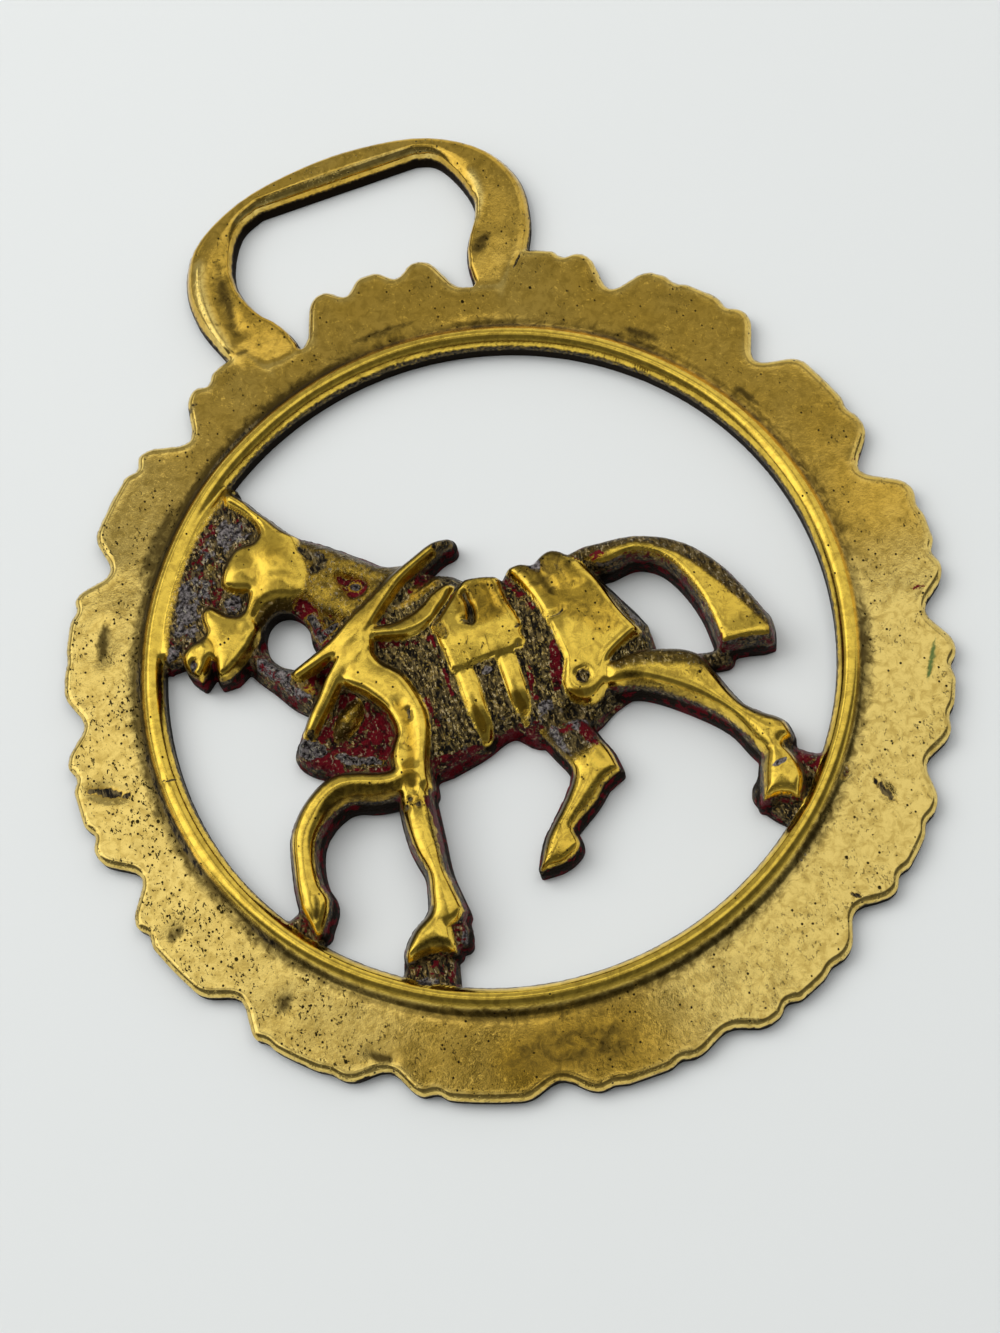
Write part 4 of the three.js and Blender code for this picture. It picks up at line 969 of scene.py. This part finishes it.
def worn_brass():
    """Cast yellow brass, worn and hand polished: bright gold on the high parts, olive-brown tarnish in the
    hollows, dark pin-holes of the casting, and crimson paint and grey scale left in the recesses. Some light
    is painted on it as well: pale specks as glints, lighter scale on the lump tops, shade in the film and
    bright reflections in the polish."""
    material = bpy.data.materials.new("worn cast brass")
    material.use_nodes = True
    tree = material.node_tree
    tree.nodes.clear()
    place = add(tree, "ShaderNodeTexCoord", out="Object")
    gilt, grime, red, grey, cast, pits, brown, green, hollow, low_wall, satin = (
        add(tree, "ShaderNodeAttribute", out="Fac", attribute_name=name) for name in LAYERS
    )
    pattern = {}
    for name, (size_mm, detail, rough, distort, squeeze) in PATTERNS.items():
        where = place
        if squeeze != 1:
            where = add(tree, "ShaderNodeMapping", {"Vector": place, "Scale": (1.0, squeeze, 1.0)})
        pattern[name] = add(tree, "ShaderNodeTexNoise", {
            "Vector": where, "Scale": 1 / (size_mm * MM), "Detail": detail, "Roughness": rough,
            "Distortion": distort,
        }, "Fac")
    blotch, mottle, speck, grain, cloud, streaks, ragged = pattern.values()

    # Holes are denser where the layer says so: it grows the share of cells that hold one.
    clusters = add(tree, "ShaderNodeMath", {
        0: pits,
        1: add(tree, "ShaderNodeMapRange", {
            "Value": blotch, "From Min": 0.38, "From Max": 0.62, "To Min": 0.1, "To Max": 1.0,
        }, interpolation_type="SMOOTHSTEP"),
    }, operation="MULTIPLY")
    fine_holes = pin_holes(
        tree, place, 0.42, 0.3,
        add(tree, "ShaderNodeMath", {0: clusters, 1: 0.35}, operation="MULTIPLY"),
    )
    large_holes = pin_holes(
        tree, place, 1.6, 0.13,
        add(tree, "ShaderNodeMath", {0: clusters, 1: 0.3}, operation="MULTIPLY"),
    )
    pepper = add(tree, "ShaderNodeMath", {
        0: add(tree, "ShaderNodeMapRange", {
            "Value": ragged, "From Min": 0.6, "From Max": 0.67,
        }, interpolation_type="SMOOTHSTEP"),
        1: add(tree, "ShaderNodeMapRange", {
            "Value": clusters, "From Min": 0.1, "From Max": 0.8,
        }, interpolation_type="SMOOTHSTEP"),
    }, operation="MULTIPLY")
    holes = add(tree, "ShaderNodeMath", {
        0: add(tree, "ShaderNodeMath", {0: fine_holes, 1: large_holes}, operation="MAXIMUM"),
        1: pepper,
    }, operation="MAXIMUM")

    # What lies on the metal: dirt, paint and scale in patches, and bright grains where it is as cast; and
    # pale specks painted over the crust and paint as glints.
    deep = add(tree, "ShaderNodeMath", {
        0: add(tree, "ShaderNodeMapRange", {
            "Value": hollow, "From Min": 0.08, "From Max": 0.6,
        }, interpolation_type="SMOOTHSTEP"),
        1: 0.7,
    }, operation="MULTIPLY")
    dirt = add(tree, "ShaderNodeMapRange", {
        "Value": add(tree, "ShaderNodeMath", {
            0: add(tree, "ShaderNodeMath", {0: grime, 1: deep}, operation="ADD"),
            1: speck,
        }, operation="ADD"),
        "From Min": 0.8, "From Max": 1.2,
    }, interpolation_type="SMOOTHSTEP")
    patches = add(tree, "ShaderNodeMath", {
        0: mottle, 1: 1.2,
        2: add(tree, "ShaderNodeMath", {0: speck, 1: 0.3}, operation="MULTIPLY"),
    }, operation="MULTIPLY_ADD")
    patches = add(tree, "ShaderNodeMath", {0: blotch, 1: 0.8, 2: patches}, operation="MULTIPLY_ADD")
    paint = add(tree, "ShaderNodeMapRange", {
        "Value": add(tree, "ShaderNodeMath", {0: red, 1: 0.46, 2: patches}, operation="MULTIPLY_ADD"),
        "From Min": 1.44, "From Max": 1.54,
    }, interpolation_type="SMOOTHSTEP")
    paint = add(tree, "ShaderNodeMath", {
        0: paint,
        1: add(tree, "ShaderNodeMapRange", {
            "Value": red, "From Min": 0.03, "From Max": 0.2,
        }, interpolation_type="SMOOTHSTEP"),
    }, operation="MULTIPLY")
    bright = add(tree, "ShaderNodeMath", {0: streaks, 1: 0.5, 2: ragged}, operation="MULTIPLY_ADD")
    glints = add(tree, "ShaderNodeMath", {
        0: add(tree, "ShaderNodeMapRange", {
            "Value": bright, "From Min": 0.8, "From Max": 0.9,
        }, interpolation_type="SMOOTHSTEP"),
        1: cast,
    }, operation="MULTIPLY")
    # Painted highlight: pale specks on the crust and paint that stand for the small glints of their wet
    # surface.
    painted_sparkle = add(tree, "ShaderNodeMath", {
        0: add(tree, "ShaderNodeMapRange", {
            "Value": bright, "From Min": 0.84, "From Max": 0.92,
        }, interpolation_type="SMOOTHSTEP"),
        1: add(tree, "ShaderNodeMath", {
            0: cast,
            1: add(tree, "ShaderNodeMapRange", {
                "Value": blotch, "From Min": 0.3, "From Max": 0.55, "To Min": 0.3,
            }, interpolation_type="SMOOTHSTEP"),
        }, operation="MULTIPLY"),
    }, operation="MULTIPLY")
    dirt = add(tree, "ShaderNodeMath", {
        0: dirt,
        1: add(tree, "ShaderNodeMath", {0: glints, 1: 0.85}, operation="MULTIPLY"),
    }, operation="SUBTRACT", use_clamp=True)
    paint = add(tree, "ShaderNodeMath", {
        0: paint,
        1: add(tree, "ShaderNodeMath", {0: painted_sparkle, 1: 0.5}, operation="MULTIPLY"),
    }, operation="SUBTRACT", use_clamp=True)
    # Painted highlight and shade: the grey scale gathers on the lump tops, away from the hollows, so lumps
    # are lighter on top and darker between.
    raised = add(tree, "ShaderNodeMath", {0: hollow, 1: -1.5, 2: grey}, operation="MULTIPLY_ADD")
    scale = add(tree, "ShaderNodeMapRange", {
        "Value": add(tree, "ShaderNodeMath", {0: raised, 1: patches}, operation="SUBTRACT"),
        "From Min": -0.72, "From Max": -0.5,
    }, interpolation_type="SMOOTHSTEP")
    scale = add(tree, "ShaderNodeMath", {
        0: scale,
        1: add(tree, "ShaderNodeMapRange", {
            "Value": grey, "From Min": 0.05, "From Max": 0.25,
        }, interpolation_type="SMOOTHSTEP"),
    }, operation="MULTIPLY")
    wall = add(tree, "ShaderNodeMapRange", {
        "Value": add(tree, "ShaderNodeMath", {
            0: low_wall,
            1: add(tree, "ShaderNodeMath", {0: speck, 1: 0.3}, operation="MULTIPLY"),
        }, operation="ADD"),
        "From Min": 0.45, "From Max": 0.85,
    }, interpolation_type="SMOOTHSTEP")

    # The metal's own colour, paler where a bright reflection is painted on the band, and the brown film on
    # it.
    tarnish = add(tree, "ShaderNodeMapRange", {
        "Value": add(tree, "ShaderNodeMath", {
            0: gilt,
            1: add(tree, "ShaderNodeMath", {0: cloud, 1: 0.4}, operation="MULTIPLY"),
        }, operation="ADD"),
        "From Min": 1.1, "From Max": 0.35,
    }, interpolation_type="SMOOTHSTEP")
    polished = add(tree, "ShaderNodeMix", {
        0: satin, 6: linear("#EED076"), 7: linear("#FBD455"),
    }, 2, data_type="RGBA")
    metal = add(tree, "ShaderNodeMix", {
        0: tarnish, 6: polished, 7: linear("#D8AA34"),
    }, 2, data_type="RGBA")
    metal = add(tree, "ShaderNodeMix", {
        0: add(tree, "ShaderNodeMapRange", {
            "Value": mottle, "From Min": 0.4, "From Max": 0.66, "To Min": 0.0, "To Max": 0.5,
        }, interpolation_type="SMOOTHSTEP"),
        6: metal, 7: linear("#A5842F"),
    }, 2, data_type="RGBA")
    metal = add(tree, "ShaderNodeMix", {
        0: add(tree, "ShaderNodeMath", {
            0: add(tree, "ShaderNodeMapRange", {
                "Value": blotch, "From Min": 0.45, "From Max": 0.75,
            }, interpolation_type="SMOOTHSTEP"),
            1: add(tree, "ShaderNodeMapRange", {
                "Value": tarnish, "From Min": 0.0, "From Max": 1.0, "To Min": 0.1, "To Max": 0.6,
            }, interpolation_type="SMOOTHSTEP"),
        }, operation="MULTIPLY"),
        6: metal, 7: linear("#7E6627"),
    }, 2, data_type="RGBA")
    uneven = add(tree, "ShaderNodeMath", {
        0: add(tree, "ShaderNodeMath", {
            0: add(tree, "ShaderNodeMath", {0: mottle, 1: 0.5}, operation="SUBTRACT"),
            1: 0.9,
        }, operation="MULTIPLY"),
        1: add(tree, "ShaderNodeMath", {
            0: add(tree, "ShaderNodeMath", {0: streaks, 1: 0.5}, operation="SUBTRACT"),
            1: add(tree, "ShaderNodeMath", {0: cast, 1: 0.5}, operation="MULTIPLY"),
        }, operation="MULTIPLY"),
    }, operation="ADD")
    # The film is patina, with painted shade on the horse's slopes that face +Y and a painted dark reflection
    # on the band.
    film = add(tree, "ShaderNodeMapRange", {
        "Value": add(tree, "ShaderNodeMath", {0: brown, 1: uneven}, operation="ADD"),
        "From Min": 0.08, "From Max": 0.75,
    }, interpolation_type="SMOOTHSTEP")
    film = add(tree, "ShaderNodeMath", {0: film, 1: glints}, operation="SUBTRACT", use_clamp=True)
    metal = add(tree, "ShaderNodeMix", {
        0: add(tree, "ShaderNodeMath", {0: film, 1: 0.9}, operation="MULTIPLY"),
        6: metal, 7: linear("#42351A"),
    }, 2, data_type="RGBA")
    metal = add(tree, "ShaderNodeMix", {
        0: add(tree, "ShaderNodeMapRange", {
            "Value": add(tree, "ShaderNodeMath", {0: green, 1: mottle}, operation="ADD"),
            "From Min": 1.0, "From Max": 1.5,
        }, interpolation_type="SMOOTHSTEP"),
        6: metal, 7: linear("#66763F"),
    }, 2, data_type="RGBA")

    # The holes, the crust, the scale, the painted glints, the dark walls and the paint over the metal.
    colour = add(tree, "ShaderNodeMix", {0: holes, 6: metal, 7: linear("#2E260F")}, 2, data_type="RGBA")
    crust = add(tree, "ShaderNodeMix", {
        0: add(tree, "ShaderNodeMapRange", {
            "Value": streaks, "From Min": 0.42, "From Max": 0.62,
        }, interpolation_type="SMOOTHSTEP"),
        6: linear("#0F0B08"), 7: linear("#685936"),
    }, 2, data_type="RGBA")
    colour = add(tree, "ShaderNodeMix", {0: dirt, 6: colour, 7: crust}, 2, data_type="RGBA")
    # The scale's grey, lighter on the lump tops as a painted highlight.
    colour = add(tree, "ShaderNodeMix", {
        0: scale, 6: colour,
        7: add(tree, "ShaderNodeMix", {
            0: add(tree, "ShaderNodeMapRange", {
                "Value": speck, "From Min": 0.38, "From Max": 0.66,
            }, interpolation_type="SMOOTHSTEP"),
            6: linear("#1C1818"), 7: linear("#8E8684"),
        }, 2, data_type="RGBA"),
    }, 2, data_type="RGBA")
    # The painted glints' pale colour.
    colour = add(tree, "ShaderNodeMix", {
        0: add(tree, "ShaderNodeMath", {0: painted_sparkle, 1: 0.75}, operation="MULTIPLY"),
        6: colour, 7: linear("#DBD2B8"),
    }, 2, data_type="RGBA")
    colour = add(tree, "ShaderNodeMix", {0: wall, 6: colour, 7: linear("#1C150D")}, 2, data_type="RGBA")
    colour = add(tree, "ShaderNodeMix", {
        0: paint, 6: colour,
        7: add(tree, "ShaderNodeMix", {
            0: add(tree, "ShaderNodeMapRange", {
                "Value": mottle, "From Min": 0.36, "From Max": 0.58,
            }, interpolation_type="SMOOTHSTEP"),
            6: linear("#1A0407"), 7: linear("#5F0713"),
        }, 2, data_type="RGBA"),
    }, 2, data_type="RGBA")

    # What is covered mirrors less.
    covered = add(tree, "ShaderNodeMath", {
        0: add(tree, "ShaderNodeMath", {0: dirt, 1: wall}, operation="MAXIMUM"),
        1: paint,
    }, operation="MAXIMUM")
    metallic = add(tree, "ShaderNodeMath", {
        0: 1.0,
        1: add(tree, "ShaderNodeMath", {0: covered, 1: 0.8}, operation="MULTIPLY"),
    }, operation="SUBTRACT", use_clamp=True)
    roughness = add(tree, "ShaderNodeMix", {0: tarnish, 2: 0.08, 3: 0.1}, data_type="FLOAT")
    roughness = add(tree, "ShaderNodeMath", {
        0: roughness,
        1: add(tree, "ShaderNodeMath", {
            0: add(tree, "ShaderNodeMapRange", {
                "Value": blotch, "From Min": 0.45, "From Max": 0.75,
            }, interpolation_type="SMOOTHSTEP"),
            1: 0.12,
        }, operation="MULTIPLY"),
    }, operation="ADD")
    roughness = add(tree, "ShaderNodeMix", {0: satin, 2: roughness, 3: 0.17}, data_type="FLOAT")
    roughness = add(tree, "ShaderNodeMix", {0: film, 2: roughness, 3: 0.3}, data_type="FLOAT")
    roughness = add(tree, "ShaderNodeMix", {
        0: add(tree, "ShaderNodeMath", {0: covered, 1: scale}, operation="MAXIMUM"),
        2: roughness, 3: 0.32,
    }, data_type="FLOAT")

    # The grain of the casting.
    height = add(tree, "ShaderNodeMath", {
        0: add(tree, "ShaderNodeMath", {0: speck, 1: 0.5}, operation="SUBTRACT"),
        1: add(tree, "ShaderNodeMix", {0: cast, 2: 0.007, 3: 0.3}, data_type="FLOAT"),
    }, operation="MULTIPLY")
    height = add(tree, "ShaderNodeMath", {
        0: height,
        1: add(tree, "ShaderNodeMath", {
            0: grain,
            1: add(tree, "ShaderNodeMix", {0: cast, 2: 0.0015, 3: 0.06}, data_type="FLOAT"),
        }, operation="MULTIPLY"),
    }, operation="ADD")
    height = add(tree, "ShaderNodeMath", {
        0: height,
        1: add(tree, "ShaderNodeMath", {
            0: streaks,
            1: add(tree, "ShaderNodeMath", {0: cast, 1: 0.14}, operation="MULTIPLY"),
        }, operation="MULTIPLY"),
    }, operation="ADD")
    height = add(tree, "ShaderNodeMath", {
        0: height,
        1: add(tree, "ShaderNodeMath", {0: holes, 1: 0.06}, operation="MULTIPLY"),
    }, operation="SUBTRACT")
    shine = add(tree, "ShaderNodeMath", {
        0: add(tree, "ShaderNodeMath", {0: 1.0, 1: wall}, operation="SUBTRACT"),
        1: 0.14,
    }, operation="MULTIPLY")

    bump = add(tree, "ShaderNodeBump", {"Height": height, "Distance": MM, "Strength": 1.0})
    surface = add(tree, "ShaderNodeBsdfPrincipled", {
        "Base Color": colour, "Metallic": metallic, "Roughness": roughness, "Normal": bump,
        "Specular IOR Level": shine,
    })
    add(tree, "ShaderNodeOutputMaterial", {"Surface": surface})
    return material


def pale_cloth():
    """Fine white cotton: matt."""
    material = bpy.data.materials.new("white cotton")
    material.use_nodes = True
    shader = material.node_tree.nodes["Principled BSDF"]
    shader.inputs["Base Color"].default_value = linear("#DEE0DE")
    shader.inputs["Roughness"].default_value = 0.9
    return material


# ---- studio ----
CAMERA_AT = Vector((-4.0, -75.1, 212.3)) * MM
LOOKS_AT = Vector((-0.06, -0.63, 0)) * MM
ROLL = math.radians(19.63)
FLOOR_GAP = 0.00002  # metres between the brass's flat back and the cloth
LENS = 67.5  # with a 36 mm sensor along the long side


def turned_to(at, target, roll=0.0):
    """A matrix that stands at one place and looks at another, upright in the frame's XY before the roll."""
    back = (at - target).normalized()
    up = (Vector((0, 1, 0)) - back * back.y).normalized()
    right = up.cross(back)
    turn = Matrix((right, up, back)).transposed().to_4x4()
    return Matrix.Translation(at) @ turn @ Matrix.Rotation(roll, 4, "Z")


def studio():
    """The camera, the cloth under the brass and the light."""
    camera = bpy.data.cameras.new("camera")
    camera.lens = LENS
    camera.sensor_width = 36
    camera.clip_start = 0.01
    eye = bpy.data.objects.new("camera", camera)
    eye.matrix_world = turned_to(CAMERA_AT, LOOKS_AT, -ROLL)
    bpy.context.scene.collection.objects.link(eye)
    bpy.context.scene.camera = eye

    bm = bmesh.new()
    bmesh.ops.create_grid(bm, x_segments=1, y_segments=1, size=2)
    mesh = bpy.data.meshes.new("floor")
    bm.to_mesh(mesh)
    bm.free()
    floor = bpy.data.objects.new("floor", mesh)
    floor.location.z = -FLOOR_GAP
    mesh.materials.append(pale_cloth())
    bpy.context.scene.collection.objects.link(floor)

    for name, place, size, power in (
        ("window", (-0.35, 0.35, 0.55), 0.5, 2.4),
        ("ceiling", (0.15, 0.25, 0.8), 0.8, 2.6),
    ):
        light = bpy.data.lights.new(name, "AREA")
        light.size = size
        light.energy = power
        lamp = bpy.data.objects.new(name, light)
        lamp.matrix_world = turned_to(Vector(place), Vector((0, 0, 0)))
        lamp.visible_glossy = False  # the metal mirrors the room below, not the lamps
        bpy.context.scene.collection.objects.link(lamp)
    bpy.context.scene.world = room()
    bpy.context.scene.view_settings.view_transform = "Standard"


# The room that the metal mirrors: how bright each part is, and the edges between which it lies. An edge is
# a direction with where it starts and ends: u leans to +X, v to +Y, slant across both, and z is the height.
# A later part covers the ones before it.
CEILING = 1.0
CEILING_LEFT = 1.16
ROOM = (
    (0.58, (("v", 0.31, 0.16), ("u", 0.02, -0.04))),  # the near end of the ceiling, on the left
    (0.4, (("slant", 0.4, 0.425),)),  # beyond the ceiling's far edge
    (0.95, (("v", 0.33, 0.27), ("u", 0.04, 0.07))),  # the near end on the right
    (0.0, (("u", -0.058, -0.052), ("u", 0.034, 0.018), ("v", 0.265, 0.24))),  # a dark bar between them
    (0.12, (("v", 0.0, -0.4),)),  # the dark side
    (0.22, (("v", -1.8, -3.0),)),  # and down to the horizon
    (1.5, (("u", -0.22, -0.45), ("v", -0.3, 0.1))),  # the window at the left
    (0.4, (("v", 0.75, 1.1), ("u", 1.5, 0.9))),  # the far wall
    (0.8, (("u", 0.35, 0.6), ("v", -0.2, 0.3))),  # the wall at the right
    (0.5, (("z", 0.12, -0.02),)),  # below the horizon
)


def room():
    """A plain room in soft greys: a bright ceiling that ends at a slanting edge, a window at the left, and
    a dark side towards -Y."""
    world = bpy.data.worlds.new("room")
    world.use_nodes = True
    tree = world.node_tree
    x = add(tree, "ShaderNodeSeparateXYZ", {0: add(tree, "ShaderNodeTexCoord", out="Generated")}, "X")
    y, z = x.node.outputs["Y"], x.node.outputs["Z"]
    up = add(tree, "ShaderNodeMath", {0: z, 1: 0.06}, operation="MAXIMUM")
    u = add(tree, "ShaderNodeMath", {0: x, 1: up}, operation="DIVIDE")
    v = add(tree, "ShaderNodeMath", {0: y, 1: up}, operation="DIVIDE")
    slant = add(tree, "ShaderNodeMath", {0: u, 1: 0.22, 2: v}, operation="MULTIPLY_ADD")
    ways = {"u": u, "v": v, "slant": slant, "z": z}
    level = add(tree, "ShaderNodeMapRange", {
        "Value": u, "From Min": -0.02, "From Max": 0.06, "To Min": CEILING_LEFT, "To Max": CEILING,
    }, interpolation_type="SMOOTHSTEP")
    for brightness, edges in ROOM:
        share = None
        for way, start, end in edges:
            edge = add(tree, "ShaderNodeMapRange", {
                "Value": ways[way], "From Min": start, "From Max": end,
            }, interpolation_type="SMOOTHSTEP")
            if share:
                edge = add(tree, "ShaderNodeMath", {0: share, 1: edge}, operation="MULTIPLY")
            share = edge
        level = add(tree, "ShaderNodeMix", {0: share, 2: level, 3: brightness}, data_type="FLOAT")
    background = tree.nodes["Background"]
    background.inputs["Color"].default_value = linear("#F4F6F8")
    tree.links.new(level, background.inputs["Strength"])
    return world


studio()
casting = build_casting()
casting.data.materials.append(worn_brass())
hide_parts("horse_brass")
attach(casting, "root")
